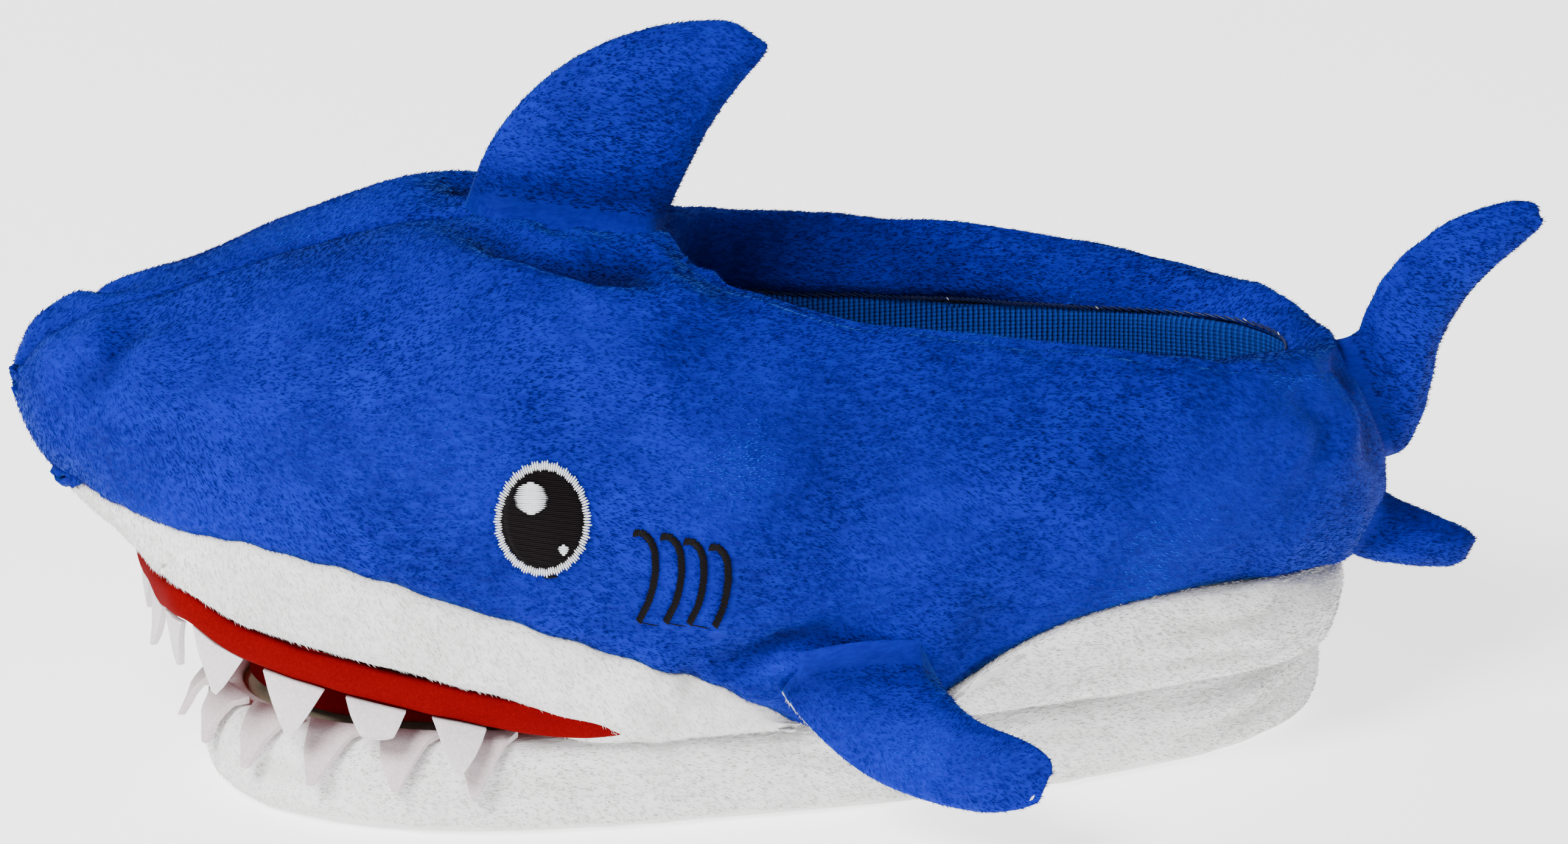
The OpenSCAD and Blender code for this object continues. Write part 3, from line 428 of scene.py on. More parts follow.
# short pointed fibres all over a panel's outside, lying along its nap
def growPile(name, mesh, look, seed, keep=None, shade=0.0):
    mesh.calc_loop_triangles()
    tris = np.zeros(len(mesh.loop_triangles) * 3, np.int32)
    mesh.loop_triangles.foreach_get("vertices", tris)
    tris = tris.reshape(-1, 3)
    co, no = places(mesh), normals(mesh)
    nap = readAttribute(mesh, "nap", "vector", 3)
    # the painted shade of the hollows, carried onto the fibres
    hollow = readAttribute(mesh, "hollow", "value", 1)
    areas = np.linalg.norm(np.cross(co[tris[:, 1]] - co[tris[:, 0]], co[tris[:, 2]] - co[tris[:, 0]]),
                           axis=1) / 2
    rng = np.random.default_rng(seed)
    total = min(int(areas.sum() * look["perArea"]), look["most"])
    pick = tris[rng.choice(len(tris), total, p=areas / areas.sum())]
    share = rng.random((total, 2))
    over = share.sum(1) > 1
    share[over] = 1 - share[over]
    weights = np.concatenate([1 - share.sum(1, keepdims=True), share], 1)[:, :, None]
    root, out, lie = ((values[pick] * weights).sum(1) for values in (co, no, nap))
    dark = (hollow[pick] * weights[:, :, 0]).sum(1)
    if keep is not None:
        kept = keep(root, out)
        root, out, lie, dark = root[kept], out[kept], lie[kept], dark[kept]
    total = len(root)
    loft = 0.5 + 0.35 * noiseAt(root, 20 * mm, seed)
    run = lie * look["lean"] + out * (1 - look["lean"]) * (0.6 + 0.8 * loft)[:, None]
    run += rng.normal(0, look["stray"], root.shape)
    run /= np.linalg.norm(run, axis=1)[:, None]
    under = (run * out).sum(1) < 0.08
    run[under] += out[under] * 0.35
    side = np.cross(run, out)
    side /= np.maximum(np.linalg.norm(side, axis=1), 1e-6)[:, None]
    wide = (look["width"] * (0.7 + 0.6 * rng.random(total)))[:, None]
    long = (look["length"] * (0.55 + 0.7 * rng.random(total)))[:, None]
    foot = root - out * 0.15 * mm
    verts = np.stack([foot - side * wide, foot + side * wide, foot + np.cross(side, run) * wide * 1.2,
                      root + run * long], 1)
    first = np.arange(total)[:, None, None] * 4
    faces = (first + np.array([[0, 3, 1], [1, 3, 2], [2, 3, 0]])).reshape(-1, 3)
    made = bpy.data.meshes.new(name)
    made.from_pydata(verts.reshape(-1, 3).tolist(), [], faces.tolist())
    patches = 0.45 * noiseAt(root, 24 * mm, seed + 1)
    # fibres in the hollows, and whole pieces given a shade, take darker tones: painted shade
    tone = 0.5 + patches + 0.2 * (rng.random(total) - 0.5) - 0.6 * dark - shade
    slots = np.clip((tone * len(look["tones"])).astype(int), 0, len(look["tones"]) - 1)
    piece = newPiece(name, made, look["tones"], None, ())
    print("grown", name, total)
    made.polygons.foreach_set("material_index", np.repeat(slots, 3).astype(np.int32))
    return piece


cover = {"axisHeight": 55 * mm, "weld": 1.3 * mm, "seamWidth": 3.2 * mm, "seamDepth": 1.3 * mm,
         "cloth": 1.6 * mm, "hem": 4 * mm, "hemHeight": 31 * mm, "pressure": 40.0, "cap": 2.2 * mm}
coverPanels = ["upper_left", "upper_right", "lip_left", "lip_right", "belly_left", "belly_right",
               "collar_facing"]


def coverMiddle(p):
    return Vector((max(-0.1, min(0.08, p.x)), 0, cover["axisHeight"]))


def facingMiddle(p):  # the facing looks into the opening, so its outside is there
    return Vector((p.x, p.y * 3, p.z)) if abs(p.y) > 5 * mm else Vector((p.x * 3 - 96 * mm, p.y, p.z))


def matchBorders(bm, reach):  # each panel's edge gets a corner where its neighbour's edge has one
    corners = [(v.co.copy(), v.link_faces[0].material_index) for v in bm.verts if v.is_boundary]
    for corner, panel in corners:
        for e in [e for e in bm.edges if e.is_boundary and e.link_faces[0].material_index != panel]:
            a, b = (v.co for v in e.verts)
            run = b - a
            t = (corner - a).dot(run) / run.length_squared
            gap = min(t, 1 - t) * run.length
            if gap > 0.4 * mm and (a + run * t - corner).length < reach:
                bmesh.utils.edge_split(e, e.verts[0], t)


def closePanels(bm):  # holes at the heel are sewn up, and the facing is joined to the upper over the rim
    for loop in borderLoops(bm):
        if max(v.co.x for e in loop for v in e.verts) < -120 * mm:
            filled = bmesh.ops.triangle_fill(bm, use_beauty=True, edges=loop)["geom"]
            for face in (g for g in filled if isinstance(g, bmesh.types.BMFace)):
                face.material_index = 0
    loops = borderLoops(bm)
    small = [loop for loop in loops if len(loop) < 14]
    for loop in small:
        filled = bmesh.ops.holes_fill(bm, edges=loop, sides=20)["faces"]
        for face in filled:
            face.material_index = max(f.material_index for e in face.edges for f in e.link_faces)
        bmesh.ops.triangulate(bm, faces=filled)
    rims = [loop for loop in borderLoops(bm) if min(v.co.z for e in loop for v in e.verts) > 75 * mm]
    rims.sort(key=lambda loop: -sum(v.co.z for e in loop for v in e.verts) / len(loop))
    bridged = bmesh.ops.bridge_loops(bm, edges=rims[0] + rims[1])["faces"]
    for face in bridged:
        face.material_index = coverPanels.index("collar_facing")
    for loop in [loop for loop in borderLoops(bm) if len(loop) < 14]:
        made = bmesh.ops.contextual_create(bm, geom=loop)["faces"]
        for face in made:
            face.material_index = 0
    low = max(borderLoops(bm), key=len)  # the edge round the sole and the mouth is turned in
    hem = bmesh.ops.extrude_edge_only(bm, edges=low)["geom"]
    for vert in (g for g in hem if isinstance(g, bmesh.types.BMVert)):
        turned = vert.co.z > cover["hemHeight"]
        vert.co.x -= math.copysign(2.5 * mm, vert.co.x) * min(1, abs(vert.co.x) / 0.1)
        vert.co.y -= math.copysign(min(abs(vert.co.y), cover["hem"]), vert.co.y)
        vert.co.z = vert.co.z + 1.5 * mm if turned else 21 * mm
    for face in (f for f in bm.faces if f.material_index == 0 and f.calc_center_median().y > 0.5 * mm):
        face.material_index = 1
    bmesh.ops.recalc_face_normals(bm, faces=bm.faces)


def makeCover():
    bm = bmesh.new()
    for index, node in enumerate(coverPanels):
        if node == "collar_facing":
            matchBorders(bm, cover["weld"])
            edgeVerts = [v for v in bm.verts if v.is_boundary]
            bmesh.ops.remove_doubles(bm, verts=edgeVerts, dist=cover["weld"])
        panel = skinOf(node, facingMiddle if node == "collar_facing" else coverMiddle)
        for face in panel.faces:
            face.material_index = index
        mesh = bpy.data.meshes.new("panel")
        panel.to_mesh(mesh)
        panel.free()
        bm.from_mesh(mesh)
        bpy.data.meshes.remove(mesh)
    closePanels(bm)
    return bm


def seamPlaces(mesh, hidden=({0, 6}, {1, 6})):  # where two panels are sewn together
    byVertex = {}
    for polygon in mesh.polygons:
        for v in polygon.vertices:
            byVertex.setdefault(v, set()).add(polygon.material_index)
    return {v for v, panels in byVertex.items() if len(panels) > 1 and panels not in hidden}


def heldPlaces(mesh):  # the open edges and the seams don't move
    uses = np.zeros(len(mesh.edges), int)
    for polygon in mesh.polygons:
        for key in polygon.loop_indices:
            uses[mesh.loops[key].edge_index] += 1
    edge = {v for i in np.flatnonzero(uses == 1) for v in mesh.edges[int(i)].vertices}
    return edge | seamPlaces(mesh)


def smoothSeams(piece, passes, relax=3):  # a seam runs in an even line
    bm = bmesh.new()
    bm.from_mesh(piece.data)
    bm.verts.ensure_lookup_table()
    onSeam = seamPlaces(piece.data)
    along = {i: [e.other_vert(bm.verts[i]) for e in bm.verts[i].link_edges
                 if len({f.material_index for f in e.link_faces}) > 1] for i in onSeam}
    along = {i: ends for i, ends in along.items() if len(ends) > 1 and not bm.verts[i].is_boundary
             and len({f.material_index for f in bm.verts[i].link_faces}) == 2}
    for _ in range(passes):
        middles = {i: sum((v.co for v in ends), Vector()) / len(ends) for i, ends in along.items()}
        for i, middle in middles.items():
            bm.verts[i].co = bm.verts[i].co.lerp(middle, 0.5)
    loose = [v for v in bm.verts if v.index not in onSeam and not v.is_boundary]
    for _ in range(relax):
        bmesh.ops.smooth_vert(bm, verts=loose, factor=0.5, use_axis_x=True, use_axis_y=True,
                              use_axis_z=True)
    bm.to_mesh(piece.data)
    bm.free()


# a fold is [its points, half width, depth, height of the swell beside it], in mm, on the left side
coverFolds = {
    "noseDart": [[(-137, -6, 111), (-145.5, -14.8, 107.7), (-151, -19.5, 102.6), (-156, -19, 97),
                  (-159, -16.5, 91)], 5, 2.4, 1.2],
    "finHollow": [[(-73, -10, 127), (-65, -21, 124.4), (-57, -25.5, 122), (-47, -26.5, 119.3),
                   (-36, -22, 118.3), (-27, -12, 118)], 5.5, 4.2, 2.2],
    "shoulder": [[(-75, -28, 121), (-60, -38, 115), (-45, -41, 112), (-31, -38, 111)], 9, -1.6, 0],
    "finRear": [[(-20, -6, 117), (-24, -20, 115), (-16, -32, 111)], 5, 2.0, 0.8],
    "pectoralTop": [[(-30, -60, 38), (-21, -59.5, 41), (-12.8, -60, 45), (-4, -60, 45.5), (5, -59.6, 43),
                     (12, -58.5, 40)], 4.5, 2.6, 1.4],
    "pectoralRear": [[(-2, -59, 36), (8, -59, 37), (16, -58, 35), (22, -57, 33)], 3.2, 1.8, 0.8],
    "mouthCorner": [[(-44, -54, 34), (-36, -54.5, 27), (-29, -54, 24)], 3.4, 1.5, 0.8],
    "mouthCornerHigh": [[(-36, -57, 36), (-28, -57, 31), (-20, -56, 28)], 3, 1.2, 0.6],
    "heelTuck": [[(104, -33, 84), (110, -30, 74), (112, -30, 64)], 5, 1.6, 0.8],
    "tailHollow": [[(118, -10, 84), (122.3, -15, 75.7), (124.5, -17, 66), (124, -18, 56)], 6, 2.2, 0.9],
    "bellyFold": [[(72, -50, 36), (88, -46, 35), (100, -41, 36), (112, -33, 38)], 3.2, 1.4, 0.8],
    "bellyLow": [[(52, -53, 29), (75, -49, 28.5), (95, -42, 28), (110, -33, 29)], 2.8, 1.2, 0.5],
    "sidePull": [[(-8, -58, 100), (-2, -60, 84), (0, -61, 66)], 10, 1.0, 0.4],
    "sidePullRear": [[(60, -52, 94), (66, -55, 78), (64, -56, 60)], 10, 0.9, 0.4],
}


def softenNose(piece):  # the panels' ends are pulled even at the tip of the snout
    bm = bmesh.new()
    bm.from_mesh(piece.data)
    tip = [v for v in bm.verts if v.co.x < -149 * mm and not v.is_boundary]
    for _ in range(8):
        bmesh.ops.smooth_vert(bm, verts=tip, factor=0.5, use_axis_x=True, use_axis_y=True,
                              use_axis_z=True)
    bm.normal_update()
    for vert in tip:
        vert.co += vert.normal * 0.6 * mm
    bm.to_mesh(piece.data)
    bm.free()


def sculptCover(piece):
    mesh = piece.data
    co, no = places(mesh), normals(mesh)
    near = co * (1, -1, 1) * np.where(co[:, 1:2] > 0, (1, 1, 1), (1, -1, 1)) / mm
    push = 0.8 * noiseAt(co, 26 * mm) + 0.45 * noiseAt(co, 11 * mm, 2)
    push *= ease((125 - near[:, 2]) / 15) * 0.6 + 0.4
    for line, width, depth, swell in coverFolds.values():
        far, share = nearLine(near, line)
        wander = width * (1 + 0.25 * np.sin(share * 9 + 1))
        ends = np.clip(np.sin(np.pi * np.clip(share, 0.04, 0.96)), 0, 1) ** 0.7
        hollowed = depth * np.exp(-(far / wander) ** 2)
        push += ends * (swell * np.exp(-((far - 1.8 * wander) / wander) ** 2) - hollowed)
    seams = seamPlaces(mesh)
    tree = KDTree(len(seams))
    for i in seams:
        tree.insert(co[i], i)
    tree.balance()
    toSeam = np.array([tree.find(p)[2] for p in co])
    valley = np.clip(1 - toSeam / cover["seamWidth"], 0, 1) ** 2
    pucker = ease(1 - toSeam / (9 * mm)) * noiseAt(co, 6 * mm, 5) * 0.16
    push += pucker * (1 - valley) - valley * cover["seamDepth"] / mm
    moveTo(mesh, co + no * push[:, None] * mm)
    # where the cover is pushed in, at folds and seams, it is painted darker: painted shade
    hollow = mesh.attributes.new("hollow", "FLOAT", "POINT")
    hollow.data.foreach_set("value", np.clip(-push / 3.5, 0, 1).astype(np.float32))


def makeNap(mesh, down=0.25, swirl=0.9):  # the way the pile lies: to the tail, and more or less down
    co, no = places(mesh), normals(mesh)
    fall = down + swirl * noiseAt(co, 55 * mm, 3) + 0.35 * noiseAt(co, 14 * mm, 4)
    lie = np.stack([np.ones(len(co)), 0.3 * noiseAt(co, 30 * mm, 6), -fall], 1)
    lie -= no * (lie * no).sum(1)[:, None]
    lie /= np.maximum(np.linalg.norm(lie, axis=1), 1e-6)[:, None]
    nap = mesh.attributes.get("nap") or mesh.attributes.new("nap", "FLOAT_VECTOR", "POINT")
    nap.data.foreach_set("vector", lie.astype(np.float32).ravel())


# one panel of the cover as a closed piece of cloth
def takePanel(piece, index, name, material, node, slot):
    bm = bmesh.new()
    bm.from_mesh(piece.data)
    bmesh.ops.delete(bm, geom=[f for f in bm.faces if f.material_index != index], context="FACES")
    panel = newPiece(name, bm, [material], "root", [node])
    panel.data.polygons.foreach_set("material_index", [0] * len(panel.data.polygons))
    makeNap(panel.data)
    return panel


def thicken(piece, cloth):
    addModifier(piece, "SOLIDIFY", thickness=cloth, offset=-1, use_even_offset=False)
    bake(piece)


coverNames = {"upper_left": ("upperLeft", bluePlush, "plush_blue"),
              "upper_right": ("upperRight", bluePlush, "plush_blue"),
              "lip_left": ("lipLeft", whitePlush, "plush_white"),
              "lip_right": ("lipRight", whitePlush, "plush_white"),
              "belly_left": ("bellyLeft", whitePlush, "plush_white"),
              "belly_right": ("bellyRight", whitePlush, "plush_white"),
              "collar_facing": ("collarFacing", bluePlush, "plush_blue")}
whole = newPiece("wholeCover", makeCover(), [bluePlush] * 7, "root")
smoothSeams(whole, 8, 0)
addModifier(whole, "SUBSURF", levels=2, render_levels=2)
bake(whole)
smoothSeams(whole, 90, 4)
softenNose(whole)
puff(whole, heldPlaces(whole.data), cover["pressure"], cover["cap"])
addModifier(whole, "SUBSURF", levels=1, render_levels=1)
bake(whole)
smoothSeams(whole, 16, 2)
sculptCover(whole)
coverPieces = {node: takePanel(whole, index, *coverNames[node][:2], node, coverNames[node][2])
               for index, node in enumerate(coverPanels)}
wholeTree = BVHTree.FromObject(whole, bpy.context.evaluated_depsgraph_get())
bpy.data.objects.remove(whole)


gillLook = {"line": [(0, 0), (1.2, 0.1), (2.3, -0.4), (3.6, -2.2), (4.3, -4.6), (4.4, -8.8), (3.9, -12.4),
                     (3.1, -15.8), (1.0, -20.6)],
            "starts": [(0, 0), (5.8, -1.2), (10.8, -2.6), (16.2, -4.2)], "pitch": 0.42, "half": 0.72,
            "thread": 0.62}


def clearOfThread(p, n):  # no pile grows through the embroidery
    ex, ez = (p[:, 0] + 64.2 * mm) / (9.9 * mm), (p[:, 2] - 75.5 * mm) / (12.2 * mm)
    clear = ex ** 2 + ez ** 2 > 1.0
    low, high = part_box("gills_left")
    flat = p * (1, 0, 1) / mm
    for dx, dz in gillLook["starts"]:
        bar = [(low.x / mm + 0.4 + dx + x, 0, high.z / mm - 0.4 + dz + z) for x, z in gillLook["line"]]
        clear &= nearLine(flat, bar)[0] > 1.25
    return clear | (np.abs(p[:, 1]) < 30 * mm)


for seed, (node, piece) in enumerate(coverPieces.items()):
    upper = "upper" in node
    if "lip" in node:
        makeNap(piece.data, 1.3, 0.5)
    if node == "collar_facing":
        rim = bmesh.new()
        rim.from_mesh(piece.data)
        low = min(borderLoops(rim), key=lambda loop: sum(e.verts[0].co.z for e in loop) / len(loop))
        corners = sorted({v for e in low for v in e.verts},
                         key=lambda v: math.atan2(v.co.y / 33, (v.co.x - 42 * mm) / 70))
        facingSeam = [(v.co.copy(), v.normal.copy()) for v in corners]
        rim.free()
    pile = growPile(piece.name + "Pile", piece.data,
                    whitePile if "white" in coverNames[node][2] else bluePile,
                    40 + seed, clearOfThread if upper else None)
    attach(pile, "root")
    thicken(piece, cover["cloth"])
print("cover made:", sum(len(p.data.polygons) for p in coverPieces.values()), "faces")


fins = {
    "dorsal_fin": {"halves": ["dorsal_fin_left", "dorsal_fin_right"], "stuffing": "dorsal_fin_stuffing",
                   "names": ["dorsalFinLeft", "dorsalFinRight"], "sink": 9, "flare": 5, "cut": 1,
                   "crest": 0.8},
    "pectoral_left": {"halves": ["pectoral_left_top", "pectoral_left_underside"],
                      "stuffing": "pectoral_left_stuffing",
                      "names": ["pectoralLeftTop", "pectoralLeftUnderside"], "sink": 7, "flare": 3,
                      "cut": 1, "crest": 0.6},
    "pectoral_right": {"halves": ["pectoral_right_top", "pectoral_right_underside"],
                       "stuffing": "pectoral_right_stuffing",
                       "names": ["pectoralRightTop", "pectoralRightUnderside"], "sink": 7, "flare": 3,
                       "cut": 1, "crest": 0.6},
    "tail_upper": {"halves": ["tail_upper_left", "tail_upper_right"], "stuffing": "tail_upper_stuffing",
                   "names": ["tailUpperLeft", "tailUpperRight"], "sink": 8, "flare": 3, "cut": 1,
                   "crest": 0.8},
    "tail_lower": {"halves": ["tail_lower_left", "tail_lower_right"], "stuffing": "tail_lower_stuffing",
                   "names": ["tailLowerLeft", "tailLowerRight"], "sink": 8, "flare": 2, "cut": 1,
                   "crest": 0.5},
}


def joinHalves(bm, above):  # the two halves meet in one edge, half way between them
    rims = [[v for v in bm.verts if v.is_boundary and above(v.co)
             and v.link_faces[0].material_index == index]
            for index in (0, 1)]
    partners = {a: [] for a in rims[0]}
    for b in rims[1]:
        partners[min(rims[0], key=lambda a: (a.co - b.co).length)].append(b)
    ends = {}
    for a, bs in partners.items():
        if bs:
            ends[a] = (a.co + sum((b.co for b in bs), Vector()) / len(bs)) / 2
            for b in bs:
                ends[b] = ends[a]
    paired = [a for a in rims[0] if a in ends]
    for a in rims[0]:
        if a not in ends:
            ends[a] = ends[min(paired, key=lambda c: (c.co - a.co).length)]
    for vert, place in ends.items():
        vert.co = place
    bmesh.ops.remove_doubles(bm, verts=list(ends), dist=0.02 * mm)
    bmesh.ops.dissolve_degenerate(bm, dist=0.01 * mm, edges=bm.edges)


finLook = {"pressure": 120, "cap": 1.6 * mm, "shade": 0.22, "bendBelow": 4 * mm, "bendAbove": 9 * mm}


def makeFin(body, look):
    joint = next(j for j in frame["joints"] if j["child"] == body)
    root, axis = Vector(joint["pos_m"]), Vector(joint["axis"]).normalized()
    fill = BVHTree.FromObject(cad[look["stuffing"]], bpy.context.evaluated_depsgraph_get())
    bm = bmesh.new()
    for index, node in enumerate(look["halves"]):
        half = skinOf(node, lambda p: fill.find_nearest(p)[0])
        for face in half.faces:
            face.material_index = index
        mesh = bpy.data.meshes.new("half")
        half.to_mesh(mesh)
        half.free()
        bm.from_mesh(mesh)
        bpy.data.meshes.remove(mesh)
    middle = sum((v.co for v in bm.verts), Vector()) / len(bm.verts)
    up = (middle - root) - axis * (middle - root).dot(axis)
    up.normalize()
    joinHalves(bm, lambda p: (p - root).dot(up) > -look["cut"] * mm)
    under = [f for f in bm.faces if (f.calc_center_median() - root).dot(up) < -look["cut"] * mm]
    bmesh.ops.delete(bm, geom=under, context="FACES")
    loops = borderLoops(bm)
    low = min(loops, key=lambda loop: min((v.co - root).dot(up) for e in loop for v in e.verts))
    side = up.cross(axis)
    for share in (0.5, 1):
        grown = bmesh.ops.extrude_edge_only(bm, edges=low)["geom"]
        low = [g for g in grown if isinstance(g, bmesh.types.BMEdge)]
        for vert in (g for g in grown if isinstance(g, bmesh.types.BMVert)):
            out = math.copysign(1, (vert.co - root).dot(side))
            vert.co += (side * out * look["flare"] * share - up * look["sink"] * 0.5) * mm
    bmesh.ops.recalc_face_normals(bm, faces=bm.faces)
    piece = newPiece(body + "Whole", bm, [bluePlush] * 2, "root")
    addModifier(piece, "SUBSURF", levels=2, render_levels=2)
    bake(piece)
    co = places(piece.data)
    skirt = np.flatnonzero(((co - np.array(root)) @ np.array(up)) < 2 * mm)
    puff(piece, {int(i) for i in skirt} | seamPlaces(piece.data, ()), finLook["pressure"], finLook["cap"])
    addModifier(piece, "SUBSURF", levels=1, render_levels=1)
    bake(piece)
    sculptFin(piece.data, look, root, axis, up)
    for index, (node, name) in enumerate(zip(look["halves"], look["names"])):
        part = bmesh.new()
        part.from_mesh(piece.data)
        bmesh.ops.delete(part, geom=[f for f in part.faces if f.material_index != index], context="FACES")
        white = "underside" in node
        half = newPiece(name, part, [whitePlush if white else bluePlush], None, [node])
        half.data.polygons.foreach_set("material_index", [0] * len(half.data.polygons))
        makeNap(half.data, 0.5 if "pectoral" in body else 0.1, 0.6)

        def onFin(p, n):
            above = ((p - np.array(root)) @ np.array(up)) > -3 * mm
            return above & (n[:, 2] < 0.1) if white else above

        # the dorsal fin and the tail get darker fibres, a painted shade
        shade = 0.0 if "pectoral" in body else finLook["shade"]
        pile = growPile(name + "Pile", half.data, whitePile if white else bluePile, len(name) + index,
                        onFin, shade)
        thicken(half, cover["cloth"])
        for part in (half, pile):
            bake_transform(part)
    bpy.data.objects.remove(piece)


def sculptFin(mesh, look, root, axis, up):
    co, no = places(mesh), normals(mesh)
    push = 0.7 * noiseAt(co, 16 * mm, 8) + 0.4 * noiseAt(co, 7 * mm, 9)
    seams = seamPlaces(mesh, ())
    tree = KDTree(len(seams))
    for i in seams:
        tree.insert(co[i], i)
    tree.balance()
    toSeam = np.array([tree.find(p)[2] for p in co])
    crest = np.exp(-(toSeam / (1.5 * mm)) ** 2)
    valley = np.exp(-((toSeam - 3.6 * mm) / (1.8 * mm)) ** 2)
    pucker = ease(1 - toSeam / (9 * mm)) * ease(toSeam / (2 * mm)) * noiseAt(co, 5 * mm, 11)
    push *= ease(toSeam / (4 * mm)) * 0.8 + 0.2
    push += 0.4 * look["crest"] * crest - 0.25 * valley + 0.35 * pucker
    moveTo(mesh, co + no * push[:, None] * mm)
    # the pushed-in places and the root, where the fin meets the body, are painted darker: painted shade
    hollow = mesh.attributes.new("hollow", "FLOAT", "POINT")
    rise = ((co - np.array(root)) @ np.array(up)) / mm
    rootShade = 0.5 * np.exp(-((rise + 2) / 5) ** 2)
    depth = np.clip(np.maximum(-push / 3, rootShade), 0, 1)
    hollow.data.foreach_set("value", depth.astype(np.float32))


for body, look in fins.items():
    makeFin(body, look)
print("fins made")


# loose fill, foam or felt: a fine grain with a little colour change
def fibreMaterial(name, colour, scale, height, sheen=0.15):
    material = bpy.data.materials.new(name)
    material.use_nodes = True
    tree = material.node_tree
    shader = tree.nodes["Principled BSDF"]
    place = addNode(tree, "ShaderNodeTexCoord").outputs["Object"]
    grain = addNode(tree, "ShaderNodeTexNoise",
                    {"Vector": place, "Scale": scale, "Detail": 4.0, "Roughness": 0.7})
    cloud = addNode(tree, "ShaderNodeTexNoise", {"Vector": place, "Scale": scale / 12, "Detail": 2.0})
    darker = tuple(c * 0.8 for c in colour[:3]) + (1,)
    lighter = tuple(min(1, c * 1.15) for c in colour[:3]) + (1,)
    base = mixColour(tree, cloud.outputs["Fac"], darker, colour)
    speck = addNode(tree, "ShaderNodeMapRange",
                    {"Value": grain.outputs["Fac"], "From Min": 0.45, "From Max": 0.75})
    link(tree, mixColour(tree, speck.outputs[0], base, lighter), shader.inputs["Base Color"])
    shader.inputs["Roughness"].default_value = 0.9
    shader.inputs["Specular IOR Level"].default_value = 0.1 if sheen else 0.03
    shader.inputs["Sheen Weight"].default_value = sheen
    bump = addNode(tree, "ShaderNodeBump",
                   {"Height": grain.outputs["Fac"], "Strength": 0.7, "Distance": height})
    link(tree, bump.outputs[0], shader.inputs["Normal"])
    return material


fibreFill = fibreMaterial("fibreFill", (0.78, 0.78, 0.76, 1), 500, 0.6 * mm)
foamCore = fibreMaterial("foamCore", (0.7, 0.6, 0.4, 1), 1400, 0.3 * mm)
stuffings = {  # how far each stays inside its cover, in mm, and how full it is
    "snout_stuffing": (3.5, 0.9), "vamp_padding": (5.5, 0.85),
    "wall_padding_left": (3, 0.7), "wall_padding_right": (3, 0.7),
    "dorsal_fin_stuffing": (2.6, 0.8), "pectoral_left_stuffing": (2.4, 0.6),
    "pectoral_right_stuffing": (2.4, 0.6), "tail_upper_stuffing": (2.4, 0.7),
    "tail_lower_stuffing": (2.0, 0.7),
}


def makeStuffing(node, inset):
    bm = bmesh.new()
    bm.from_mesh(cad[node].data)
    bmesh.ops.remove_doubles(bm, verts=bm.verts, dist=0.05 * mm)
    bmesh.ops.smooth_vert(bm, verts=bm.verts, factor=0.5, use_axis_x=True, use_axis_y=True,
                          use_axis_z=True)
    bm.normal_update()
    for vert in bm.verts:
        vert.co -= vert.normal * inset * mm
    name = node.replace("_", " ").title().replace(" ", "")
    piece = newPiece(name[0].lower() + name[1:], bm, [fibreFill],
                     frame["bodies"][cad[node]["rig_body"]].name[5:], [node])
    addModifier(piece, "SUBSURF", levels=1, render_levels=1)
    bake(piece)
    return piece


for node, (inset, fill) in stuffings.items():
    makeStuffing(node, inset)
print("stuffing made")


redFelt = fibreMaterial("redFelt", (0.15, 0.0, 0.001, 1), 1500, 0.35 * mm, 0)
redCloth = fibreMaterial("redCloth", (0.17, 0.0, 0.002, 1), 1100, 0.3 * mm, 0)
whiteFelt = fibreMaterial("whiteFelt", (0.68, 0.63, 0.66, 1), 1300, 0.3 * mm)
# the lower teeth are white felt; this copy is painted darker and pinker for their shade and the red light
# thrown from the mouth: painted shade and painted reflection
pinkFelt = fibreMaterial("pinkFelt", (0.60, 0.50, 0.52, 1), 1300, 0.3 * mm)
mouth = {"gumSwell": 0.5, "toothRipple": 0.4, "toothScale": {1: 0.72, 2: 0.8, 3: 0.84},
         "otherScale": 0.84,
         "folded": 2, "foldFrom": 0.6, "foldKeep": 0.1, "foldCurl": -1.8, "lowerLift": 1.3}
lowerTeeth = []


# a merged copy of a node, rounded and gently uneven
def reworked(node, levels, bulge=0.0, seed=1.0, size=10):
    bm = bmesh.new()
    bm.from_mesh(cad[node].data)
    bmesh.ops.remove_doubles(bm, verts=bm.verts, dist=0.03 * mm)
    bmesh.ops.join_triangles(bm, faces=bm.faces, angle_face_threshold=math.radians(30),
                             angle_shape_threshold=math.radians(100))
    piece = newPiece(node + "Rough", bm, [], None)
    addModifier(piece, "SUBSURF", levels=levels, render_levels=levels)
    mesh = bake(piece)
    co, no = places(mesh), normals(mesh)
    moveTo(mesh, co + no * (noiseAt(co, size * mm, seed) * bulge * mm)[:, None])
    bpy.data.objects.remove(piece)
    return mesh


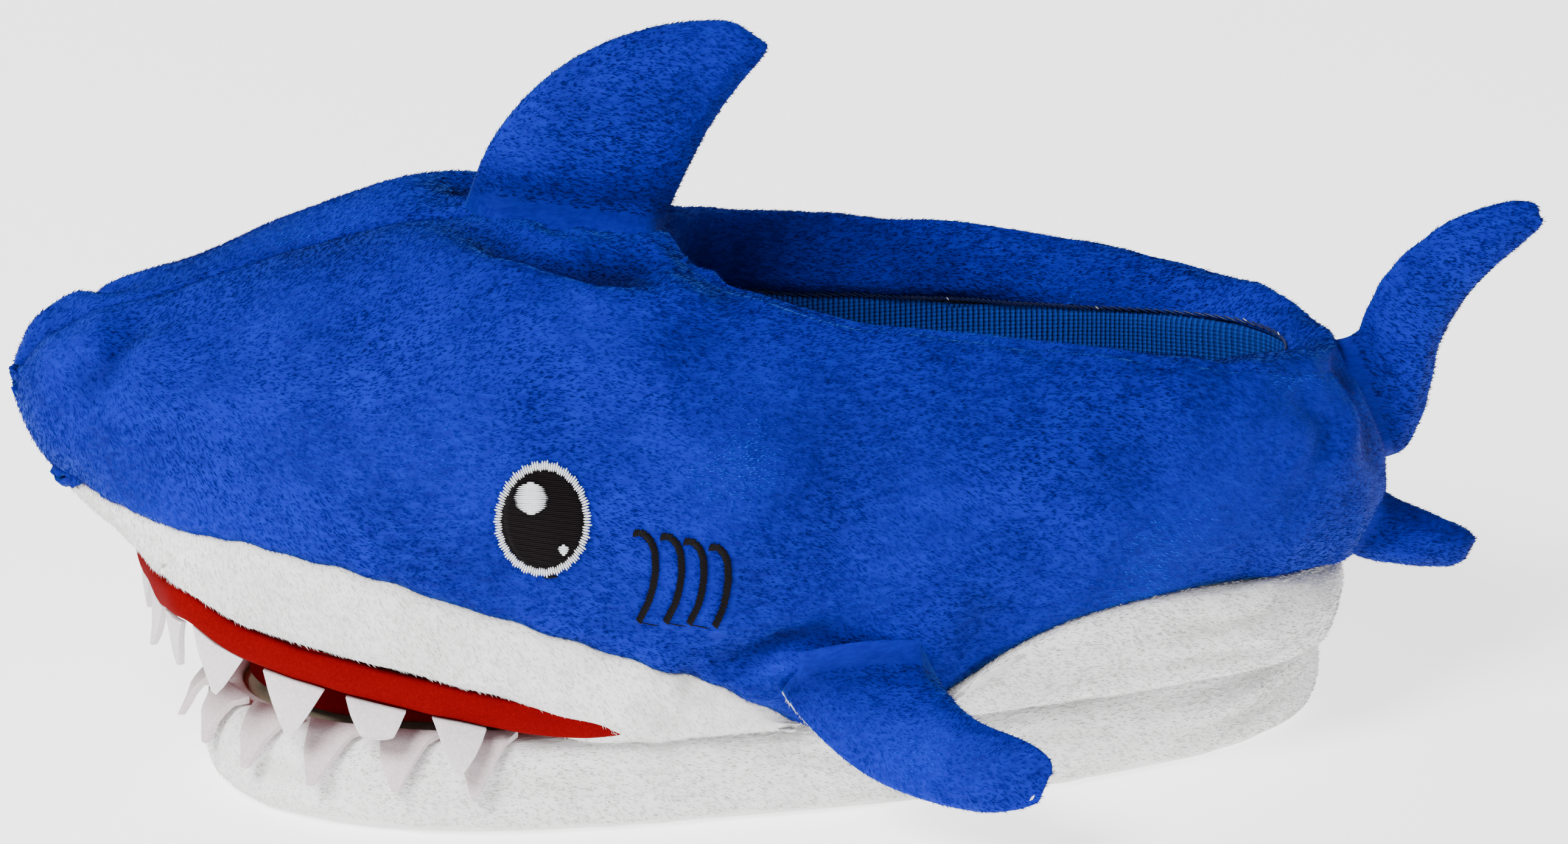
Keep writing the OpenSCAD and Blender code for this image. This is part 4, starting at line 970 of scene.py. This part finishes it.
newPiece("gumBand", reworked("gum_band", 2, mouth["gumSwell"], 3, 9), [redFelt], "root", ["gum_band"])
newPiece("mouthLining", reworked("mouth_lining", 2, 0.5, 4, 12), [redCloth], "root", ["mouth_lining"])
for node in sorted(n for n in cad if "tooth" in n):
    order = int(node.split("_")[-1])
    bm = bmesh.new()
    bm.from_mesh(cad[node].data)
    bmesh.ops.remove_doubles(bm, verts=bm.verts, dist=0.03 * mm)
    bmesh.ops.dissolve_limit(bm, angle_limit=math.radians(4), verts=bm.verts, edges=bm.edges)
    bmesh.ops.subdivide_edges(bm, edges=bm.edges, cuts=3, use_grid_fill=True)
    bmesh.ops.triangulate(bm, faces=[f for f in bm.faces if len(f.verts) > 4])
    low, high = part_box(node)
    lower = "lower" in node
    curl = (1.2 if lower else 1.4) * math.sin(order * 2.3) + (1.0 if lower else 0)
    small = 1 if lower else mouth["toothScale"].get(order, mouth["otherScale"])
    middle = (low + high) / 2
    for vert in bm.verts:
        q = (high.z - vert.co.z) / (high.z - low.z)
        if order == mouth["folded"] and not lower and q > mouth["foldFrom"]:
            kept = mouth["foldFrom"] + (q - mouth["foldFrom"]) * mouth["foldKeep"]
            vert.co.z = high.z - kept * (high.z - low.z)
            curl = mouth["foldCurl"]
        vert.co.z = high.z - (high.z - vert.co.z) * small
        vert.co.x = middle.x + (vert.co.x - middle.x) * min(1, small + 0.06)
        ripple = noise.noise(vert.co / (7 * mm) + Vector((order, 0, 0))) * mouth["toothRipple"]
        outward = Vector((vert.co.x + 40 * mm, vert.co.y, 0)).normalized()
        lift = mouth["lowerLift"] * ease(q * 2.5) if lower else 0
        vert.co += outward * (ripple + float(lift) + curl * q * q) * mm
    # the lower teeth take the felt with painted shade and painted red reflection
    tooth = newPiece(node.replace("_tooth_", "Tooth"), bm, [pinkFelt if lower else whiteFelt], "root",
                     [node])
    if lower:
        lowerTeeth.append(tooth)
    addModifier(tooth, "BEVEL", width=0.25 * mm, segments=2, limit_method="ANGLE",
                angle_limit=math.radians(50))
    bake(tooth)
print("mouth made")


def threadMaterial(name, colour, sheen):
    material = bpy.data.materials.new(name)
    material.use_nodes = True
    tree = material.node_tree
    shader = tree.nodes["Principled BSDF"]
    place = addNode(tree, "ShaderNodeTexCoord").outputs["Object"]
    fleck = addNode(tree, "ShaderNodeTexNoise", {"Vector": place, "Scale": 2500.0, "Detail": 2.0})
    darker = tuple(c * 0.6 for c in colour[:3]) + (1,)
    link(tree, mixColour(tree, fleck.outputs["Fac"], darker, colour), shader.inputs["Base Color"])
    shader.inputs["Roughness"].default_value = 0.42
    shader.inputs["Specular IOR Level"].default_value = 0.3 if sheen else 0.07
    shader.inputs["Sheen Weight"].default_value = sheen
    bump = addNode(tree, "ShaderNodeBump",
                   {"Height": fleck.outputs["Fac"], "Strength": 0.4, "Distance": 0.1 * mm})
    link(tree, bump.outputs[0], shader.inputs["Normal"])
    return material


blackThread = threadMaterial("blackThread", (0.004, 0.0025, 0.003, 1), 0.0)
navyThread = threadMaterial("navyThread", (0.0, 0.004, 0.06, 1), 0.05)
whiteThread = threadMaterial("whiteThread", (0.78, 0.8, 0.82, 1), 0.1)


class StitchBoard:  # places given level with the ground, laid on the cover's side
    def __init__(self, side, proud):
        self.side, self.proud = side, proud

    def at(self, x, z, lift=0.0):
        start = Vector((x, self.side * 0.2, z))
        hit, normal, _, _ = wholeTree.ray_cast(start, Vector((0, -self.side, 0)))
        return hit + normal * (self.proud + lift) * mm, normal


def layThread(bm, a, b, normalA, thick, sides=6):  # one stitch: a round thread, thin at its ends
    run = b - a
    if run.length < 0.2 * mm:
        return
    made = bmesh.ops.create_uvsphere(bm, u_segments=sides, v_segments=5, radius=1)["verts"]
    across = run.cross(normalA).normalized()
    up = across.cross(run).normalized()
    turn = Matrix((across, up, run.normalized())).transposed().to_4x4()
    size = Matrix.Diagonal((thick / 2, thick / 2 * 0.8, run.length / 2 + thick * 0.3, 1))
    bmesh.ops.transform(bm, matrix=Matrix.Translation((a + b) / 2) @ turn @ size, verts=made)


def layRow(bm, spots, thick):  # a row of satin stitches that follows the cloth
    rings = []
    for k, (place, normal) in enumerate(spots):
        run = (spots[min(k + 1, len(spots) - 1)][0] - spots[max(k - 1, 0)][0]).normalized()
        across = run.cross(normal).normalized()
        turns = [2 * math.pi * i / 6 for i in range(6)]
        rings.append([bm.verts.new(place + (across * math.cos(a) + normal * math.sin(a) * 0.7) * thick
                                   / 2)
                      for a in turns])
    for a, b in zip(rings[:-1], rings[1:]):
        for i in range(6):
            bm.faces.new((a[i], a[(i + 1) % 6], b[(i + 1) % 6], b[i]))
    bm.faces.new(list(reversed(rings[0])))
    bm.faces.new(rings[-1])


eye = {"rim": 0.11, "rowPitch": 0.42, "thread": 0.5, "rimThread": 0.5,
       "rimStitches": 118, "lean": 0.10}


def makeEye(name, side):
    low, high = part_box(f"eye_{name}_white")
    middle, half = (low + high) / 2, (high - low) / 2
    board = StitchBoard(side, 0.5)
    black, white = bmesh.new(), bmesh.new()
    rows = int(2 * half.z / mm / eye["rowPitch"] * 0.9)
    for row in range(rows + 1):  # level rows of satin stitch
        z = -0.9 + 1.8 * row / rows
        reach = math.sqrt(max(0, 0.81 - z * z))
        spots = []
        for k in range(9):
            a = -reach + 2 * reach * k / 8
            spots.append(board.at(middle.x + a * half.x, middle.z + (z - a * eye["lean"]) * half.z,
                                  0.25 + 0.05 * math.sin(row * 2.1 + k)))
        layRow(black, spots, eye["thread"] * mm)
    for k in range(eye["rimStitches"]):  # radial stitches round the edge
        a = 2 * math.pi * k / eye["rimStitches"]
        wobble = 0.018 * math.sin(k * 7.7) + 0.012 * math.sin(k * 3.1)
        spots = []
        for share in (1 - eye["rim"] - 0.03 + wobble * 0.6, 1.0 + wobble):
            spots.append(board.at(middle.x + half.x * share * math.cos(a),
                                  middle.z + half.z * share * math.sin(a), 0.45))
        layThread(white, spots[0][0], spots[1][0], spots[0][1], eye["rimThread"] * mm)
    for cx, cz, rx, rz in ((-0.24, 0.40, 0.34, 0.27), (0.42, -0.52, 0.10, 0.085)):  # the two highlights
        count = int(2 * rz * half.z / mm / 0.4)
        for k in range(count + 1):
            z = rz * (-1 + 2 * k / count) * 0.97
            reach = rx * math.sqrt(max(0, 1 - (z / rz) ** 2)) + 0.015 * math.sin(k * 5)
            pa, n = board.at(middle.x + (cx - reach) * half.x,
                             middle.z + (cz + z + 0.05 * reach) * half.z, 0.75)
            pb, _ = board.at(middle.x + (cx + reach) * half.x,
                             middle.z + (cz + z - 0.05 * reach) * half.z, 0.75)
            layThread(white, pa, pb, n, 0.48 * mm)
    for share in (0.98, 1.03):  # a few black threads caught below the rim
        pa, n = board.at(middle.x + 0.02 * half.x, middle.z - half.z * share, 0.3)
        pb, _ = board.at(middle.x + 0.30 * half.x, middle.z - half.z * share * 0.985, 0.3)
        layThread(black, pa, pb, n, 0.6 * mm)
    newPiece(f"eye{name.title()}Black", black, [blackThread], "root", [f"eye_{name}_black"])
    newPiece(f"eye{name.title()}White", white, [whiteThread], "root", [f"eye_{name}_white"])


def makeGills(name, side):  # four bars of satin stitch, hooked at the top
    low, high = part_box(f"gills_{name}")
    board = StitchBoard(side, 0.5)
    bm = bmesh.new()
    line = [Vector((x, 0, z)) * mm for x, z in gillLook["line"]]
    corner = Vector((low.x + 0.4 * mm, 0, high.z - 0.4 * mm))
    for number, (dx, dz) in enumerate(gillLook["starts"]):
        start = corner + Vector((dx, 0, dz)) * mm
        short = 1 - 0.04 * number
        count = 0
        for a, b in zip(line[:-1], line[1:]):
            steps = max(1, round((b - a).length * short / mm / gillLook["pitch"]))
            for k in range(steps):
                spot = start + (a + (b - a) * k / steps) * short
                across = Vector(((b - a).z, 0, -(b - a).x)).normalized() * gillLook["half"] * mm
                across *= 1 + 0.12 * math.sin(count * 2.7 + number)
                slant = (b - a).normalized() * 0.3 * mm
                pa, n = board.at(spot.x - across.x + slant.x, spot.z - across.z + slant.z, 0.2)
                pb, _ = board.at(spot.x + across.x - slant.x, spot.z + across.z - slant.z, 0.2)
                layThread(bm, pa, pb, n, gillLook["thread"] * mm)
                count += 1
        if number < len(gillLook["starts"]) - 1:  # the thread that jumps to the next bar
            end = start + line[-1] * short
            pa, n = board.at(end.x + 0.6 * mm, end.z, 0.1)
            pb, _ = board.at(end.x + 4.6 * mm, end.z - 1.0 * mm, 0.1)
            layThread(bm, pa, pb, n, 0.32 * mm)
    newPiece(f"gills{name.title()}", bm, [blackThread], "root", [f"gills_{name}"])


for name, side in (("left", -1), ("right", 1)):
    makeEye(name, side)
    makeGills(name, side)


def sewFacing():  # the overlocked seam under the facing: dark thread, with white specks of the backing
    dark, pale = bmesh.new(), bmesh.new()
    count = len(facingSeam)
    for i in range(0, count, 2):
        (a, normal), (b, _) = facingSeam[i], facingSeam[(i + 3) % count]
        inward = normal * 0.5 * mm
        layThread(dark, a + inward + Vector((0, 0, -0.4)) * mm, b + inward + Vector((0, 0, 0.5)) * mm,
                  normal, 0.55 * mm)
        if noise.noise(a / (3 * mm)) > 0.34:
            spot = a + inward * 1.6
            layThread(pale, spot, spot + (b - a) * 0.25 + Vector((0, 0, 0.5)) * mm, normal, 0.22 * mm)
    newPiece("facingSeam", dark, [navyThread], "root", [])
    newPiece("facingSeamSpecks", pale, [whiteThread], "root", [])


sewFacing()
print("embroidery made")


# ribs that run up the wall, counted round it by the attribute "around"
def knitMaterial(name, dark, light, pitch):
    material = bpy.data.materials.new(name)
    material.use_nodes = True
    tree = material.node_tree
    shader = tree.nodes["Principled BSDF"]
    place = addNode(tree, "ShaderNodeTexCoord").outputs["Object"]
    around = addNode(tree, "ShaderNodeAttribute", attribute_name="around").outputs["Fac"]
    turns = addNode(tree, "ShaderNodeMath", {0: around, 1: 2 * math.pi / pitch},
                    operation="MULTIPLY").outputs[0]
    rib = addNode(tree, "ShaderNodeMath", {0: turns}, operation="SINE").outputs[0]
    ribShare = addNode(tree, "ShaderNodeMapRange",
                       {"Value": rib, "From Min": -1.0, "From Max": 0.7}).outputs[0]
    height = addNode(tree, "ShaderNodeSeparateXYZ", {0: place}).outputs["Z"]
    loops = addNode(tree, "ShaderNodeMath", {0: height, 1: 2 * math.pi / (0.9 * mm)},
                    operation="MULTIPLY").outputs[0]
    loopWave = addNode(tree, "ShaderNodeMath", {0: loops}, operation="SINE").outputs[0]
    fuzz = addNode(tree, "ShaderNodeTexNoise", {"Vector": place, "Scale": 1800.0, "Detail": 3.0})
    mixed = addNode(tree, "ShaderNodeMath", {0: loopWave, 1: 0.12, 2: ribShare},
                    operation="MULTIPLY_ADD").outputs[0]
    fuzzy = addNode(tree, "ShaderNodeMath", {0: fuzz.outputs["Fac"], 1: 0.7, 2: mixed},
                    operation="MULTIPLY_ADD").outputs[0]
    share = addNode(tree, "ShaderNodeMapRange",
                    {"Value": fuzzy, "From Min": 0.2, "From Max": 1.5}).outputs[0]
    link(tree, mixColour(tree, share, dark, light), shader.inputs["Base Color"])
    shader.inputs["Roughness"].default_value = 0.85
    shader.inputs["Specular IOR Level"].default_value = 0.15
    bump = addNode(tree, "ShaderNodeBump", {"Height": fuzzy, "Strength": 0.9, "Distance": 0.5 * mm})
    link(tree, bump.outputs[0], shader.inputs["Normal"])
    return material


blueKnit = knitMaterial("blueKnit", (0.001, 0.010, 0.12, 1), (0.004, 0.035, 0.28, 1), 1.15 * mm)
dottedCloth = fibreMaterial("dottedCloth", (0.012, 0.022, 0.075, 1), 1600, 0.2 * mm)
dots = {"pitch": 6.5 * mm, "radius": 1.1 * mm, "topRadius": 0.8 * mm, "height": 0.5 * mm, "room": 2.2}


def countAround(mesh):  # the distance round the cavity, for the ribs
    co = places(mesh)
    turn = np.clip((co[:, 0] - 70 * mm), 0, None)
    bend = np.arctan2(turn, np.abs(co[:, 1]) + 1e-4) * 34 * mm - turn
    around = co[:, 0] + 0.9 * np.where(turn > 0, bend, 0)
    ribs = mesh.attributes.new("around", "FLOAT", "POINT")
    ribs.data.foreach_set("value", around.astype(np.float32))


def makeInside():
    mesh = reworked("foot_lining", 1, 0.7, 6, 14)
    countAround(mesh)
    newPiece("footLining", mesh, [blueKnit], "root", ["foot_lining"])
    bm = bmesh.new()
    bm.from_mesh(cad["footbed"].data)
    bmesh.ops.remove_doubles(bm, verts=bm.verts, dist=0.03 * mm)
    bmesh.ops.dissolve_limit(bm, angle_limit=math.radians(3), verts=bm.verts, edges=bm.edges)
    edges = [e for e in bm.edges if abs(e.verts[0].co.z - e.verts[1].co.z) < 0.1 * mm
             and e.verts[0].co.z > 24 * mm]
    bmesh.ops.bevel(bm, geom=edges, offset=1.8 * mm, offset_type="OFFSET", segments=4, profile=0.5,
                    affect="EDGES", material=-1)
    footbed = newPiece("insole", bm, [blueKnit], "root", ["footbed"])
    countAround(footbed.data)
    cad["sole_foam"].data.materials.clear()
    cad["sole_foam"].data.materials.append(foamCore)
    cad["outsole"].data.materials.clear()
    cad["outsole"].data.materials.append(dottedCloth)


soleLook = {"levels": 2, "ripple": 0.7, "fineRipple": 0.35}
soleFolds = [
    [[(-18, -51, 16), (5, -50, 12), (22, -50, 15)], 2.2, 1.1, 0.5],
    [[(24, -49, 9), (48, -46, 13), (62, -42, 12)], 2.4, 0.9, 0.4],
    [[(80, -38, 6), (98, -29, 9), (112, -16, 12)], 2.4, 1.0, 0.5],
    [[(70, -42, 16), (90, -35, 18), (108, -22, 17)], 2.2, 0.8, 0.4],
    [[(-128, -14, 8), (-118, -26, 12), (-104, -38, 10)], 3, 0.7, 0.4],
    [[(-88, -47, 9), (-66, -51, 13), (-46, -52, 10)], 2.8, 0.7, 0.3],
    [[(-140, 0, 12), (-137, -9, 9)], 2.4, 0.6, 0.3],
]


def makeSole():
    mesh = reworked("sole_wrap", soleLook["levels"])
    co, no = places(mesh), normals(mesh)
    outside = ease((np.abs(no[:, 0]) + np.abs(no[:, 1]) - 0.35) / 0.3)
    near = co * (1, -1, 1) * np.where(co[:, 1:2] > 0, (1, 1, 1), (1, -1, 1)) / mm
    push = soleLook["ripple"] * noiseAt(co, 18 * mm, 12)
    push = push + soleLook["fineRipple"] * noiseAt(co, 7 * mm, 13)
    trees = [BVHTree.FromObject(tooth, bpy.context.evaluated_depsgraph_get()) for tooth in lowerTeeth]

    def farFromTeeth(p):
        return min((tree.find_nearest(Vector(p), 5 * mm)[3] or 5 * mm) for tree in trees)

    front = np.flatnonzero((co[:, 0] < -55 * mm) & (co[:, 2] > 5 * mm))
    push[front] = [min(push[i], 0) if farFromTeeth(co[i]) < 4 * mm else push[i] for i in front]
    for line, width, depth, swell in soleFolds:
        far, share = nearLine(near, line)
        ends = np.clip(np.sin(np.pi * np.clip(share, 0.05, 0.95)), 0, 1) ** 0.7
        valley = depth * np.exp(-(far / width) ** 2)
        push += ends * (swell * np.exp(-((far - 1.8 * width) / width) ** 2) - valley)
    moved = co + no * (push * outside)[:, None] * mm
    moved[:, 2] = np.maximum(moved[:, 2], 0.2 * mm)
    moveTo(mesh, moved)
    # the sole's folds are painted darker: painted shade
    hollow = mesh.attributes.new("hollow", "FLOAT", "POINT")
    # darker towards the bottom of the wrap, over its lowest 7 mm
    darkerLow = 0.35 * ease(1 - co[:, 2] / (7 * mm))
    hollow.data.foreach_set("value", np.clip(np.maximum(-push / 3.5, darkerLow), 0, 1).astype(np.float32))
    makeNap(mesh, 0.1, 0.7)

    def bare(p, n):  # none grows under the teeth, on the rim or beneath
        good = (np.abs(n[:, 2]) < 0.6) & (p[:, 2] > 1.5 * mm) & ((p * n)[:, :2].sum(1) > 0)
        for i in np.flatnonzero(good & (p[:, 0] < -55 * mm)):
            good[i] = farFromTeeth(p[i]) > 1.8 * mm
        return good

    pile = growPile("soleWrapPile", mesh, whitePile, 60, bare)
    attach(pile, "root")
    return newPiece("soleWrap", mesh, [whitePlush], "root", ["sole_wrap"])


def makeDots():  # the grip dots under the sole
    low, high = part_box("outsole")
    sole = BVHTree.FromObject(cad["outsole"], bpy.context.evaluated_depsgraph_get())
    bm = bmesh.new()
    pitch = dots["pitch"]
    room = dots["room"]
    for row in range(int((high.y - low.y) / pitch) + 2):
        for column in range(int((high.x - low.x) / pitch) + 2):
            place = Vector((low.x + (column + row % 2 / 2) * pitch, low.y + row * pitch * 0.866, low.z))
            if all(sole.ray_cast(place + Vector((dx * mm, dy * mm, -0.01)), Vector((0, 0, 1)))[0]
                   for dx, dy in ((room, 0), (-room, 0), (0, room), (0, -room))):
                dot = bmesh.ops.create_cone(bm, cap_ends=True, segments=8, radius1=dots["radius"],
                                            radius2=dots["topRadius"], depth=dots["height"])["verts"]
                bmesh.ops.translate(bm, verts=dot, vec=place + Vector((0, 0, 0.2 * mm)))
    rubber = fibreMaterial("gripRubber", (0.02, 0.03, 0.09, 1), 900, 0.05 * mm)
    newPiece("gripDots", bm, [rubber], "root", [])


makeInside()
makeSole()
makeDots()
print("sole and lining made")
